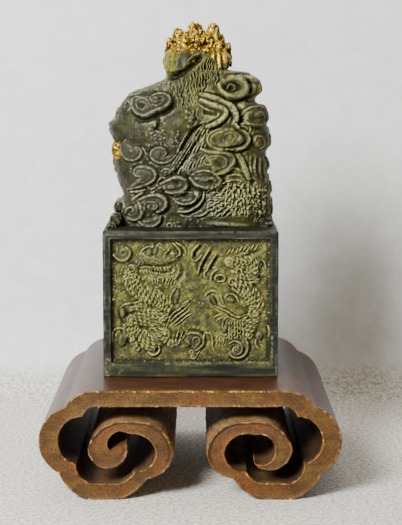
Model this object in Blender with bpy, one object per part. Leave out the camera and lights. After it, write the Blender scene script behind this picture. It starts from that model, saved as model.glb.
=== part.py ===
"""A cast dragon seal on a carved scroll stand.

The seal is one casting: a square block with a framed relief panel on each side, and on top of it
an upright finial of clouds, ribbons and hair round a dragon's head, under a gilded crest. It rests
on a wooden stand, whose board turns down at both ends and rolls inwards into two scrolls.

Metres, +Z up. The origin is on the floor under the middle of the stand, +X to the viewer's right
and +Y away from the viewer.
"""
import math

import bmesh
import bpy
import numpy as np
from mathutils import Vector

MM = 0.001

# The wooden stand
STAND_WIDTH = 92.5 * MM
STAND_DEPTH = 85.2 * MM
STAND_HEIGHT = 34.1 * MM
BOARD_THICKNESS = 5.1 * MM
SCROLL_WALL = 5.8 * MM
SCROLL_GAP = 9.7 * MM
SPIRAL_WALL = 4.6 * MM
ARC_STEPS = 8
# The rolls' stations are drawn for this wall. The inner line of a thicker one moves towards this
# middle, given as shares of the scroll's width and height.
DRAWN_SPIRAL_WALL = 4.6 * MM
ROLL_MIDDLE = (0.46, 0.48)
MOST_SHRINK = 0.5

# The block of the seal
BLOCK_WIDTH = 55.0 * MM
BLOCK_DEPTH = 55.0 * MM
BLOCK_HEIGHT = 46.2 * MM
FRONT_MARGIN = 18.6 * MM
SEAT_GAP = 0.3 * MM
FRAME_SIDE = 2.4 * MM
FRAME_TOP = 2.4 * MM
FRAME_BOTTOM = 4.0 * MM
FRAME_SLOPE = 0.5 * MM
PANEL_RECESS = 1.5 * MM
PANEL_RELIEF = 1.5 * MM
PANEL_STANDS_OUT = 0.25 * MM

# The finial on the block
FINIAL_HEIGHT = 64.5 * MM
FINIAL_DEPTH = 34.0 * MM
FINIAL_RELIEF = 1.5 * MM
FINIAL_ROOT = 1.0 * MM

# The finial and the panels are drawn at these sizes, in millimetres, and follow the sizes above
DRAWN_FINIAL_WIDTH = 55.0
DRAWN_FINIAL_HEIGHT = 64.5
DRAWN_FINIAL_HALF_DEPTH = 17.0
DRAWN_PANEL_WIDTH = 55.0
DRAWN_PANEL_HEIGHT = 46.2
DRAWN_RELIEF = 1.5
PANEL_LOWEST, PANEL_HIGHEST = -0.3, 1.6
FINIAL_LOWEST, FINIAL_HIGHEST = -2.0, 3.2

# How finely the carving is worked before its flat places are thinned
CARVING_PITCH = 0.45
PANEL_CELLS_ACROSS = 56
PANEL_CELLS_UP = 44
FINIAL_RINGS = 84
FINIAL_STEPS_ROUND = 150
BLOCK_SHARE_KEPT = 0.13
FINIAL_SHARE_KEPT = 0.13
SOFTENINGS = 1

STAND_FRONT_Y = -STAND_DEPTH / 2
BLOCK_FRONT_Y = STAND_FRONT_Y + FRONT_MARGIN
BLOCK_MIDDLE_Y = BLOCK_FRONT_Y + BLOCK_DEPTH / 2
BLOCK_FLOOR_Z = STAND_HEIGHT + SEAT_GAP
BLOCK_TOP_Z = BLOCK_FLOOR_Z + BLOCK_HEIGHT


def clear_scene():
    """Remove what a new Blender file holds."""
    for item in list(bpy.data.objects):
        bpy.data.objects.remove(item, do_unlink=True)


def make_material(name, colour, roughness, metallic):
    """A plain Principled material."""
    material = bpy.data.materials.new(name)
    material.use_nodes = True
    shader = material.node_tree.nodes["Principled BSDF"]
    shader.inputs["Base Color"].default_value = (*colour, 1.0)
    shader.inputs["Roughness"].default_value = roughness
    shader.inputs["Metallic"].default_value = metallic
    return material


def make_collection(name):
    """A collection linked to the scene."""
    collection = bpy.data.collections.new(name)
    bpy.context.scene.collection.children.link(collection)
    return collection


def mesh_object(name, mesh, material, collection):
    """An object for a mesh, with its material, in its collection."""
    item = bpy.data.objects.new(name, mesh)
    if material is not None:
        mesh.materials.append(material)
    collection.objects.link(item)
    return item


# Curves and arcs

def arc_points(start, through, end, steps):
    """The points after start on the circle through three points, which are points of it too."""
    ax, az = start
    bx, bz = through
    cx, cz = end
    twice_area = 2 * (ax * (bz - cz) + bx * (cz - az) + cx * (az - bz))
    sa, sb, sc = ax * ax + az * az, bx * bx + bz * bz, cx * cx + cz * cz
    mx = (sa * (bz - cz) + sb * (cz - az) + sc * (az - bz)) / twice_area
    mz = (sa * (cx - bx) + sb * (ax - cx) + sc * (bx - ax)) / twice_area
    radius = math.hypot(ax - mx, az - mz)
    first = math.atan2(az - mz, ax - mx)
    middle = (math.atan2(bz - mz, bx - mx) - first) % math.tau
    last = (math.atan2(cz - mz, cx - mx) - first) % math.tau
    back = 0.0 if middle < last else math.tau
    turns = np.interp(np.arange(1, steps + 1), (0, steps // 2, steps), (0, middle - back, last - back))
    return [(mx + radius * math.cos(first + a), mz + radius * math.sin(first + a)) for a in turns]


def smooth_line(points, steps=6):
    """A Catmull-Rom curve through a few points, as an array of points."""
    knots = np.array([points[0], *points, points[-1]], float)
    share = np.linspace(0, 1, steps, endpoint=False)[:, None]
    runs = []
    for p0, p1, p2, p3 in zip(knots, knots[1:], knots[2:], knots[3:]):
        runs.append(0.5 * (2 * p1 + (p2 - p0) * share
                           + (2 * p0 - 5 * p1 + 4 * p2 - p3) * share ** 2
                           + (3 * p1 - p0 - 3 * p2 + p3) * share ** 3))
    return np.vstack([*runs, knots[-1:]])


def smooth_between(z, knots):
    """A smooth function of z through (z, value) knots, level between equal values."""
    heights, values = np.array(knots, float).T
    slopes = np.gradient(values, heights)
    place = np.clip(np.searchsorted(heights, z, side="right") - 1, 0, len(heights) - 2)
    step = heights[place + 1] - heights[place]
    s = np.clip((z - heights[place]) / step, 0, 1)
    return ((2 * s ** 3 - 3 * s ** 2 + 1) * values[place]
            + (s ** 3 - 2 * s ** 2 + s) * step * slopes[place]
            + (3 * s ** 2 - 2 * s ** 3) * values[place + 1]
            + (s ** 3 - s ** 2) * step * slopes[place + 1])


# The stand

# Each station lies on the outer line of a scroll: x from the middle gap and z from the floor, as
# shares of the scroll's width and height, then the way to the inner line, in wall thicknesses.
BOARD_END = (0.562, 1.000, -0.24, -0.90)
LOBES = [
    ("arc", (0.711, 0.962, -0.66, -0.73), (0.806, 0.853, -0.98, -0.54)),
    ("arc", (1.000, 0.554, -1.04, 0.04), (0.855, 0.240, -0.94, 0.52)),
    ("arc", (0.778, 0.097, -0.64, 0.67), (0.646, 0.000, -0.26, 0.90)),
    ("line", (0.404, 0.000, 0.09, 0.90)),
    ("arc", (0.286, 0.076, 0.45, 0.66), (0.197, 0.193, 0.72, 0.40)),
    ("arc", (0.035, 0.311, 0.90, 0.17), (0.000, 0.437, 0.98, 0.02)),
    ("arc", (0.077, 0.622, 0.78, -0.45), (0.301, 0.718, 0.10, -0.68)),
]
# The left roll ends in a thick tongue and the right one in a thin lip. These stations are shares
# of the scroll too, outer line first, then the inner line back from the tip.
LEFT_ROLL = {
    "outer": [("arc", (0.508, 0.676), (0.639, 0.475)),
              ("arc", (0.583, 0.325), (0.474, 0.284)),
              ("arc", (0.386, 0.337), (0.352, 0.528))],
    "inner": [("line", (0.498, 0.437)),
              ("arc", (0.480, 0.573), (0.395, 0.634))],
}
RIGHT_ROLL = {
    "outer": [("arc", (0.508, 0.676), (0.639, 0.475)),
              ("arc", (0.583, 0.318), (0.440, 0.272)),
              ("arc", (0.386, 0.296), (0.354, 0.335))],
    "inner": [("arc", (0.440, 0.330), (0.497, 0.397)),
              ("arc", (0.476, 0.556), (0.370, 0.595))],
}


def trace(start, runs, place):
    """Follow lines and arcs from a start, each given by stations that place turns into points."""
    points = [place(start)]
    for run in runs:
        if run[0] == "line":
            points.append(place(run[1]))
        else:
            points += arc_points(points[-1], place(run[1]), place(run[2]), ARC_STEPS)
    return points


def scroll_outline(roll):
    """Half of the stand's outline at +X, from the middle of its top round to its underside."""
    width = STAND_WIDTH / 2 - SCROLL_GAP / 2
    underside = STAND_HEIGHT - BOARD_THICKNESS

    def outer_place(station):
        return SCROLL_GAP / 2 + station[0] * width, station[1] * STAND_HEIGHT

    def inner_place(station):
        x, z = outer_place(station)
        return x + station[2] * SCROLL_WALL, z + station[3] * SCROLL_WALL

    def rolled_inner(station):
        x, z = outer_place(station)
        middle_x, middle_z = outer_place(ROLL_MIDDLE)
        reach = math.hypot(x - middle_x, z - middle_z)
        shrink = 1 - min((SPIRAL_WALL - DRAWN_SPIRAL_WALL) / reach, MOST_SHRINK)
        return middle_x + (x - middle_x) * shrink, middle_z + (z - middle_z) * shrink

    outer = trace(BOARD_END, LOBES, outer_place)
    outer += trace(LOBES[-1][2], roll["outer"], outer_place)[1:]
    inner = trace(BOARD_END, LOBES, inner_place)
    inner[0] = (inner[0][0], underside)
    tip = roll["outer"][-1][2]
    back = trace(tip, roll["inner"], rolled_inner)[1:]
    return [(0.0, STAND_HEIGHT), *outer, *back, *reversed(inner), (0.0, underside)]


def make_stand(material, collection):
    """The board with its two scrolls, one outline drawn out through the stand's depth."""
    right = scroll_outline(RIGHT_ROLL)
    left = [(-x, z) for x, z in scroll_outline(LEFT_ROLL)]
    outline = right + left[-2:0:-1]
    bm = bmesh.new()
    front = [bm.verts.new((x, STAND_FRONT_Y, z)) for x, z in outline]
    face = bm.faces.new(front)
    grown = bmesh.ops.extrude_face_region(bm, geom=[face])
    moved = [item for item in grown["geom"] if isinstance(item, bmesh.types.BMVert)]
    bmesh.ops.translate(bm, verts=moved, vec=(0, STAND_DEPTH, 0))
    bmesh.ops.triangulate(bm, faces=bm.faces[:])
    bmesh.ops.recalc_face_normals(bm, faces=bm.faces[:])
    mesh = bpy.data.meshes.new("scroll_stand")
    bm.to_mesh(mesh)
    bm.free()
    return mesh_object("scroll_stand", mesh, material, collection)


# Carving

class Carving:
    """Heights in millimetres on an even grid, on which strokes are laid one over another."""

    def __init__(self, left, right, bottom, top):
        self.left, self.bottom = left, bottom
        self.x = np.arange(left, right + CARVING_PITCH, CARVING_PITCH)
        self.z = np.arange(bottom, top + CARVING_PITCH, CARVING_PITCH)
        self.height = np.zeros((len(self.z), len(self.x)))

    def window(self, x0, x1, z0, z1):
        """The part of the grid between four limits, with its coordinates."""
        columns = slice(*np.searchsorted(self.x, (x0, x1)))
        rows = slice(*np.searchsorted(self.z, (z0, z1)))
        across, up = np.meshgrid(self.x[columns], self.z[rows])
        return (rows, columns), across, up

    def mound(self, x, z, half_width, half_height, rise):
        """A soft oval swelling, or a hollow where rise is negative."""
        place, across, up = self.window(x - half_width, x + half_width, z - half_height,
                                        z + half_height)
        share = ((across - x) / half_width) ** 2 + ((up - z) / half_height) ** 2
        self.height[place] += rise * np.clip(1 - share, 0, 1) ** 1.5

    def boss(self, x, z, half_width, half_height, top):
        """A round knob that stands up to a height, whatever lies under it."""
        place, across, up = self.window(x - half_width, x + half_width, z - half_height,
                                        z + half_height)
        share = ((across - x) / half_width) ** 2 + ((up - z) / half_height) ** 2
        dome = np.where(share < 1, top * (1 - share ** 2), -np.inf)
        self.height[place] = np.maximum(self.height[place], dome)

    def stroke(self, points, half_width, top, groove=0.0, margin=0.8):
        """A rounded ridge along a line, thinner to its end, in a groove as wide as margin."""
        line = np.asarray(points, float)
        reach = half_width + margin
        (x0, z0), (x1, z1) = line.min(0) - reach, line.max(0) + reach
        place, across, up = self.window(x0, x1, z0, z1)
        nearest = np.full(across.shape, np.inf)
        along = np.zeros(across.shape)
        for index, (start, end) in enumerate(zip(line, line[1:])):
            way = end - start
            share = ((across - start[0]) * way[0] + (up - start[1]) * way[1]) / max(way @ way, 1e-9)
            share = np.clip(share, 0, 1)
            gap = np.hypot(across - start[0] - share * way[0], up - start[1] - share * way[1])
            closer = gap < nearest
            nearest = np.where(closer, gap, nearest)
            along = np.where(closer, (index + share) / (len(line) - 1), along)
        width = half_width * (1 - 0.45 * along)
        side = np.clip((nearest - width) / margin, 0, 1)
        field = self.height[place] - groove * (1 - side) ** 2
        round_top = top * (1 - np.clip(nearest / width, 0, 1) ** 2)
        self.height[place] = np.where(nearest < width, np.maximum(field, round_top), field)

    def swirl(self, x, z, radius, start, turns, top, tail=()):
        """A cloud curl: a ridge that winds inwards from start degrees, over a low dome.

        Positive turns wind anticlockwise. A tail is points from which the ridge comes in.
        """
        self.mound(x, z, radius * 1.15, radius * 1.15, top * 0.35)
        share = np.linspace(0, 1, 26)
        angle = math.radians(start) + share * turns * math.tau
        reach = radius * (1 - 0.72 * share)
        curl = np.column_stack((x + reach * np.cos(angle), z + reach * np.sin(angle)))
        line = np.vstack([smooth_line([*tail, curl[0]])[:-1], curl]) if tail else curl
        self.stroke(line, radius * 0.21, top, groove=top * 0.45, margin=radius * 0.3)

    def locks(self, roots, tips, count, half_width, top, sway):
        """Locks of hair side by side, from a line of roots to a line of tips."""
        share = np.linspace(0, 1, 12)[:, None]
        for lock in range(count):
            part = lock / max(count - 1, 1)
            root = np.array(roots[0]) * (1 - part) + np.array(roots[1]) * part
            tip = np.array(tips[0]) * (1 - part) + np.array(tips[1]) * part
            way = tip - root
            across = np.array((-way[1], way[0])) / np.hypot(*way)
            bend = sway * np.sin(share * math.pi * 1.6 + lock * 0.7)
            self.stroke(root + way * share + across * bend, half_width, top, groove=top * 0.3,
                        margin=half_width)

    def scaly_body(self, points, half_width, top, pitch):
        """A long round body with a net of scales on it."""
        line = smooth_line(points)
        self.stroke(line, half_width, top, groove=top * 0.25, margin=0.9)
        length = 0.0
        for start, end in zip(line, line[1:]):
            length += math.hypot(*(end - start))
            if length < pitch:
                continue
            length = 0.0
            way = (end - start) / math.hypot(*(end - start))
            across = np.array((-way[1], way[0]))
            for hand in (-1, 1):
                rib = [start + hand * across * half_width * 0.75, start + way * pitch * 0.6]
                self.stroke(rib, pitch * 0.22, top * 1.2, groove=0.0, margin=0.3)

    def soften(self):
        """Round off what is finer than the solid can carry."""
        for _ in range(SOFTENINGS):
            for axis in (0, 1):
                before = np.roll(self.height, 1, axis=axis)
                after = np.roll(self.height, -1, axis=axis)
                self.height = 0.25 * before + 0.5 * self.height + 0.25 * after
        return self

    def read(self, x, z):
        """The height at any places, evenly between the four nearest grid points."""
        column = np.clip((x - self.left) / CARVING_PITCH, 0, len(self.x) - 1.001)
        row = np.clip((z - self.bottom) / CARVING_PITCH, 0, len(self.z) - 1.001)
        c, r = column.astype(int), row.astype(int)
        u, v = column - c, row - r
        low = self.height[r, c] * (1 - u) + self.height[r, c + 1] * u
        high = self.height[r + 1, c] * (1 - u) + self.height[r + 1, c + 1] * u
        return low * (1 - v) + high * v


def panel_carving(full):
    """Two dragons among clouds and flames. The sides and back are the plainer version."""
    carving = Carving(-25.5, 25.5, 3.5, 44.5)
    carving.swirl(-21.6, 39.2, 2.7, 200, 1.2, 1.1)
    carving.boss(-11.9, 36.8, 4.8, 1.5, 1.3)
    carving.boss(-11.9, 39.7, 1.2, 1.2, 1.2)
    carving.swirl(-4.6, 39.9, 2.6, 120, -0.8, 1.1)
    carving.stroke([(-12.6, 33.6), (-8.8, 32.4), (-5.2, 33.6)], 0.9, 1.2, 0.3)
    carving.boss(-5.2, 26.4, 1.0, 2.0, 1.1)
    carving.scaly_body([(-18.0, 34.8), (-18.4, 31.0), (-15.2, 27.2), (-9.5, 24.2), (-6.5, 21.0),
                        (-10.5, 18.4), (-17.5, 20.0)], 2.6, 1.1, 1.6)
    carving.scaly_body([(-19.5, 19.6), (-18.6, 15.2), (-13.6, 12.6), (-9.2, 12.4)], 3.0, 1.1, 1.6)
    carving.boss(-22.0, 12.8, 1.9, 2.4, 1.2)
    carving.locks([(-8.6, 15.6), (-5.6, 13.8)], [(-0.6, 24.4), (1.2, 22.6)], 4, 0.5, 1.0, 0.4)
    carving.swirl(-12.0, 8.4, 2.2, 150, 0.9, 1.1)
    for root, tip in (((-0.2, 37.2), (3.4, 42.0)), ((2.3, 31.4), (6.2, 40.4)),
                      ((5.3, 31.6), (8.2, 38.2))):
        bend = ((root[0] + tip[0]) / 2 - 0.5, (root[1] + tip[1]) / 2 + 0.4)
        carving.stroke(smooth_line([root, bend, tip]), 0.85, 1.1, 0.3)
    carving.swirl(9.2, 31.4, 2.4, 180, -0.9, 1.1)
    carving.scaly_body([(12.6, 38.2), (17.4, 39.4), (21.6, 36.6), (22.8, 31.4), (21.4, 26.4),
                        (18.8, 21.6)], 2.9, 1.1, 1.6)
    carving.scaly_body([(19.6, 19.6), (17.0, 15.4), (13.0, 13.6)], 3.2, 1.1, 1.6)
    carving.boss(12.8, 25.6, 3.6, 2.4, 1.3)
    carving.stroke(smooth_line([(6.6, 24.2), (11.6, 20.6), (16.0, 19.4), (20.2, 22.4)]), 0.9, 1.2,
                   0.4)
    carving.locks([(8.0, 20.6), (12.0, 19.0)], [(6.6, 15.4), (10.6, 14.6)], 4, 0.45, 0.9, 0.2)
    carving.swirl(1.7, 11.7, 2.5, 90, -1.0, 1.1, tail=[(-0.4, 5.8), (2.4, 8.2)])
    carving.stroke(smooth_line([(4.8, 13.4), (6.8, 12.8), (8.2, 8.8)]), 0.7, 1.0, 0.3)
    carving.swirl(15.2, 8.9, 2.9, 60, -1.5, 1.1)
    carving.boss(21.9, 13.3, 1.3, 1.8, 1.1)
    if full:
        for tooth in range(7):
            root = np.array((11.6 + 1.55 * tooth, 40.2 + 0.25 * tooth))
            carving.stroke([root, root + (0.9, 1.6)], 0.42, 0.9, 0.0)
        carving.locks([(-3.2, 12.4), (-1.4, 12.0)], [(-4.6, 9.0), (-2.0, 8.2)], 3, 0.35, 0.8, 0.1)
    return carving.soften()


def panel_height(x, z, carving):
    """How far the panel lies behind its frame at a place, in metres. Zero on the frame."""
    side = (np.abs(x) - (DRAWN_PANEL_WIDTH / 2 - FRAME_SIDE / MM)) / (FRAME_SLOPE / MM)
    top = (z - (DRAWN_PANEL_HEIGHT - FRAME_TOP / MM)) / (FRAME_SLOPE / MM)
    bottom = (FRAME_BOTTOM / MM - z) / (FRAME_SLOPE / MM)
    inside = np.clip(-np.maximum(np.maximum(side, top), bottom), 0, 1)
    relief = np.clip(carving.read(x, z), PANEL_LOWEST, PANEL_HIGHEST) / DRAWN_RELIEF * PANEL_RELIEF
    return inside * np.maximum(PANEL_RECESS - relief, -PANEL_STANDS_OUT)


def frame_stops(size, first, last, count):
    """Places across a framed panel: close at the frame's slopes and even between them."""
    inner = np.linspace(first + FRAME_SLOPE, size - last - FRAME_SLOPE, count)
    return np.concatenate(([0.0, first], inner, [size - last, size]))


def grid_mesh(name, points):
    """A closed band of quads round the rows of points, capped below and above."""
    rows, columns = points.shape[:2]
    index = np.arange(rows * columns).reshape(rows, columns)
    after = np.roll(index, -1, axis=1)
    quads = np.stack((index[:-1], after[:-1], after[1:], index[1:]), axis=-1).reshape(-1, 4)
    faces = quads.tolist() + [index[0, ::-1].tolist(), index[-1].tolist()]
    mesh = bpy.data.meshes.new(name)
    mesh.from_pydata(points.reshape(-1, 3).tolist(), [], faces)
    mesh.update()
    return mesh


def make_block(material, collection):
    """The block: rings of points round its four framed panels, from its underside to its top."""
    up = frame_stops(BLOCK_HEIGHT, FRAME_BOTTOM, FRAME_TOP, PANEL_CELLS_UP)
    drawn_z = up / BLOCK_HEIGHT * DRAWN_PANEL_HEIGHT
    sides = []
    for turn, (width, depth) in enumerate(((BLOCK_WIDTH, BLOCK_DEPTH), (BLOCK_DEPTH, BLOCK_WIDTH)) * 2):
        across = frame_stops(width, FRAME_SIDE, FRAME_SIDE, PANEL_CELLS_ACROSS)[:-1] - width / 2
        carving = panel_carving(full=turn == 0)
        x, z = np.meshgrid(across, up)
        drawn_x = x / width * DRAWN_PANEL_WIDTH
        behind = panel_height(drawn_x, np.broadcast_to(drawn_z[:, None], x.shape), carving)
        y = behind - depth / 2
        cosine, sine = round(math.cos(turn * math.pi / 2)), round(math.sin(turn * math.pi / 2))
        sides.append(np.stack((x * cosine - y * sine, x * sine + y * cosine, z), axis=-1))
    points = np.concatenate(sides, axis=1) + (0.0, BLOCK_MIDDLE_Y, BLOCK_FLOOR_Z)
    return mesh_object("dragon_seal", grid_mesh("dragon_seal", points), material, collection)


# The finial

# Outline of the finial seen from the front, as (height, x) in drawn millimetres
LEFT_OUTLINE = [(-2, -24.0), (3.0, -24.1), (6.3, -24.2), (8.6, -22.4), (13, -23.1), (18.6, -25.0),
                (23.5, -25.9), (26.8, -25.5), (30.4, -26.6), (32.6, -26.0), (34.2, -24.3),
                (37, -23.4), (40.2, -21.4), (43.0, -18.3), (45.2, -13.2), (47.0, -8.4),
                (49.4, -8.0), (52.5, -8.4), (54.8, -7.0), (57.0, -4.4), (58.5, -0.5)]
RIGHT_OUTLINE = [(-2, 26.3), (7.5, 26.3), (12.8, 25.6), (18.6, 25.3), (21.8, 24.1), (24.9, 25.6),
                 (28.7, 25.5), (34.9, 24.8), (37.8, 23.4), (39.6, 21.0), (42.6, 22.8), (45.0, 22.6),
                 (47.6, 20.4), (48.9, 16.0), (50.1, 12.6), (53.0, 12.4), (55.2, 11.0), (57.2, 8.4),
                 (58.5, 4.0)]
# Half of its depth at each height, in drawn millimetres
HALF_DEPTH = [(-2, 17.2), (4, 17.2), (14, 17.0), (26, 16.8), (34, 15.6), (40, 13.8), (45, 11.6),
              (48, 9.6), (52, 8.0), (55, 6.4), (57.4, 4.0), (58.5, 1.5)]
SECTION_POWER = 3.0
CROWN_HEIGHT = 58.5
# How much closer together the rings are towards the top, and over what height the carving fades
RING_CLOSENESS = 1.08
FADE_BELOW, FADE_ABOVE = 1.5, 4.0
# The carving is half as high where the surface leans this many times as far as it rises
HALF_HEIGHT_LEAN = 1.4
# From which facing to which the ends' carving gives way to the front's and back's
FACING_ENDS, FACING_FRONT = 0.2, 0.6
END_SHARE = 0.6


def finial_front():
    """The front of the finial: head and curls on the left, ribbons and hair on the right."""
    carving = Carving(-28, 28, -2, 63)
    carving.mound(-14, 35, 13, 9, 1.4)
    carving.mound(15, 8, 13, 9, 1.6)
    carving.mound(-14, 9, 11, 9, 1.2)
    carving.mound(16, 29, 10, 9, 1.4)
    carving.mound(0.5, 34.9, 3.4, 4.0, 1.8)
    carving.mound(-5.4, 50.8, 4.2, 4.6, 1.4)
    carving.locks([(-4.0, 46.4), (9.8, 52.6)], [(-2.6, 38.6), (10.0, 43.2)], 7, 0.75, 1.3, 0.5)
    carving.locks([(-13.0, 43.0), (-5.0, 45.4)], [(-14.6, 41.2), (-7.0, 42.4)], 4, 0.6, 1.2, 0.2)
    carving.stroke(smooth_line([(5.0, 34.6), (-0.2, 28.0), (-3.4, 21.7), (-7.4, 15.6)]), 0.9, -2.0,
                   2.0, 1.4)
    carving.locks([(5.4, 31.4), (-2.0, 18.6)], [(8.0, 35.0), (2.6, 22.4)], 7, 0.6, 1.2, 0.2)
    carving.stroke(smooth_line([(-16.6, 41.6), (-20.4, 38.4), (-16.2, 35.4), (-10.4, 36.6),
                                (-5.6, 39.2), (-5.8, 42.4), (-9.6, 42.8), (-12.0, 41.0),
                                (-16.6, 41.6)]), 0.95, 2.4, 0.6)
    carving.boss(-9.4, 39.9, 2.0, 1.4, 1.8)
    carving.boss(-14.9, 38.2, 1.8, 1.4, 1.8)
    carving.swirl(14.3, 45.0, 4.6, 150, 1.6, 2.0)
    carving.swirl(20.0, 35.6, 3.2, 200, -1.3, 1.9)
    carving.swirl(21.2, 27.0, 2.2, 220, -1.1, 1.7)
    carving.stroke(smooth_line([(3.6, 42.1), (7.4, 40.7), (11.1, 39.3), (13.5, 37.5), (14.5, 35.4),
                                (13.5, 33.3), (11.6, 31.8)]), 1.35, 2.6, 1.0)
    carving.stroke(smooth_line([(3.4, 38.9), (6.3, 37.8), (9.7, 37.3), (11.3, 36.1), (9.7, 33.8),
                                (7.1, 32.4), (5.3, 31.7)]), 1.15, 2.6, 0.8)
    carving.swirl(12.4, 28.0, 5.0, 95, -1.15, 2.3)
    carving.swirl(-18.0, 24.6, 3.3, 130, 1.2, 1.8)
    carving.swirl(-9.6, 23.6, 2.8, 0, -1.2, 1.8, tail=[(-4.9, 23.4), (-7.2, 21.0)])
    carving.swirl(-15.8, 16.8, 3.8, 300, 1.25, 1.9, tail=[(-19.4, 12.8), (-16.4, 13.0)])
    carving.swirl(-4.6, 13.5, 3.1, 120, -1.2, 2.0)
    carving.swirl(6.6, 20.6, 4.4, 160, -1.2, 2.1)
    carving.swirl(4.4, 15.2, 3.4, 200, -1.2, 2.1)
    carving.stroke(smooth_line([(4.2, 11.4), (1.8, 8.0), (-1.4, 6.6), (-4.6, 8.6)]), 1.0, 2.2, 0.8)
    carving.stroke(smooth_line([(5.0, 10.6), (3.0, 6.4), (-0.6, 4.2), (-4.8, 4.4)]), 0.9, 2.2, 0.8)
    carving.swirl(-18.4, 4.8, 2.8, 40, -1.1, 1.8)
    carving.swirl(-11.8, 7.4, 3.9, 170, -1.15, 2.0)
    carving.stroke(smooth_line([(-16.2, 2.6), (-13.4, 0.8), (-10.0, 2.4)]), 0.7, 1.7, 0.4)
    for row in range(4):
        for column in range(7):
            x = 8.4 + 2.3 * column + 1.1 * (row % 2)
            carving.boss(x, 4.2 + 2.5 * row, 1.05, 1.35, 2.2)
    carving.locks([(20.6, 21.4), (24.4, 21.0)], [(20.2, 14.0), (24.6, 13.2)], 3, 0.7, 1.4, 0.3)
    return carving.soften()


def finial_back():
    """The back of the finial: the same masses, with fewer and larger curls."""
    carving = Carving(-28, 28, -2, 63)
    carving.mound(-14, 35, 13, 9, 1.4)
    carving.mound(15, 8, 13, 9, 1.6)
    carving.locks([(-6.0, 47.6), (11.0, 52.6)], [(-7.6, 36.6), (10.0, 38.2)], 9, 0.85, 1.5, 0.5)
    for x, z, radius, start, turns in ((14.5, 44.6, 4.4, 150, 1.4), (-15.5, 38.5, 4.2, 30, -1.3),
                                       (16.4, 32.4, 5.0, 200, -1.3), (4.6, 29.4, 4.6, 330, 1.3),
                                       (-8.4, 29.6, 4.8, 200, -1.3), (-19.4, 26.0, 4.0, 330, 1.3),
                                       (20.0, 20.6, 4.2, 330, 1.3), (-14.6, 17.0, 4.8, 210, -1.3),
                                       (-3.0, 18.4, 4.4, 330, 1.3), (9.4, 17.6, 4.6, 200, -1.3),
                                       (-19.6, 6.2, 4.4, 330, 1.3), (-8.2, 6.8, 4.8, 200, -1.3)):
        carving.swirl(x, z, radius, start, turns, 2.0)
    for row in range(4):
        for column in range(8):
            x = 2.4 + 2.9 * column + 1.4 * (row % 2)
            carving.boss(x, 2.8 + 2.7 * row, 1.3, 1.5, 2.0)
    return carving.soften()


def finial_end(hand):
    """An end of the finial, drawn across its depth: curls in two staggered rows under locks."""
    carving = Carving(-20, 20, -2, 63)
    for row in range(5):
        for column in range(3):
            x = -10.5 + 9.6 * column + 3.0 * (row % 2) - 1.0
            carving.swirl(x * hand, 4.6 + 7.6 * row, 3.9, 200 - 90 * (row % 2), 1.25 * hand, 1.7)
    carving.locks([(-8.0, 52.0), (8.0, 52.0)], [(-10.0, 40.6), (10.0, 40.6)], 8, 0.8, 1.3, 0.4)
    return carving.soften()


def even_turns(steps):
    """Angles that put points evenly round a section like the finial's at its widest."""
    turn = np.linspace(0, math.tau, 20001)
    power = 2 / SECTION_POWER
    x = DRAWN_FINIAL_WIDTH / 2 * np.sign(np.cos(turn)) * np.abs(np.cos(turn)) ** power
    y = DRAWN_FINIAL_HALF_DEPTH * np.sign(np.sin(turn)) * np.abs(np.sin(turn)) ** power
    length = np.concatenate(([0.0], np.cumsum(np.hypot(np.diff(x), np.diff(y)))))
    return np.interp(np.linspace(0, length[-1], steps, endpoint=False), length, turn)


def finial_points(rings, steps):
    """Rings of points round the finial, in metres above the block, with the carving laid on."""
    share = np.linspace(0, 1, rings)
    foot = -FINIAL_ROOT / MM
    z = foot + (CROWN_HEIGHT - foot) * (1 - (1 - share) ** RING_CLOSENESS)
    climb = np.gradient(z)[:, None]
    left, right = smooth_between(z, LEFT_OUTLINE), smooth_between(z, RIGHT_OUTLINE)
    middle, half_width = ((right + left) / 2)[:, None], ((right - left) / 2)[:, None]
    half_depth = smooth_between(z, HALF_DEPTH)[:, None]
    turn = even_turns(steps)[None, :]
    cosine, sine = np.cos(turn), np.sin(turn)
    power = 2 / SECTION_POWER
    out_x, out_y = np.sign(cosine) * np.abs(cosine) ** power, np.sign(sine) * np.abs(sine) ** power
    x, y = middle + half_width * out_x, half_depth * out_y
    slope_x = np.sign(cosine) * np.abs(out_x) ** (SECTION_POWER - 1) / half_width
    slope_y = np.sign(sine) * np.abs(out_y) ** (SECTION_POWER - 1) / half_depth
    length = np.hypot(slope_x, slope_y)
    normal_x, normal_y = slope_x / length, slope_y / length
    z = np.broadcast_to(z[:, None], x.shape)
    facing = np.clip((np.abs(normal_y) - FACING_ENDS) / (FACING_FRONT - FACING_ENDS), 0, 1)
    facing = facing * facing * (3 - 2 * facing)
    broad = np.where(normal_y < 0, finial_front().read(x, z), finial_back().read(x, z))
    ends = np.where(normal_x < 0, finial_end(1).read(y, z), finial_end(-1).read(y, z))
    rise = np.clip(facing * broad + (1 - facing) * ends * END_SHARE, FINIAL_LOWEST, FINIAL_HIGHEST)
    rise *= FINIAL_RELIEF / MM / DRAWN_RELIEF
    lean = np.hypot(np.gradient(x, axis=0), np.gradient(y, axis=0)) / climb
    rise /= 1 + (lean / HALF_HEIGHT_LEAN) ** 2
    rise *= np.clip(z / FADE_BELOW, 0, 1) * np.clip((CROWN_HEIGHT - z) / FADE_ABOVE, 0, 1)
    across = BLOCK_WIDTH / DRAWN_FINIAL_WIDTH
    through = FINIAL_DEPTH / 2 / DRAWN_FINIAL_HALF_DEPTH
    upward = FINIAL_HEIGHT / DRAWN_FINIAL_HEIGHT
    return np.stack(((x + normal_x * rise) * across, (y + normal_y * rise) * through, z * upward),
                    axis=-1)


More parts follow.
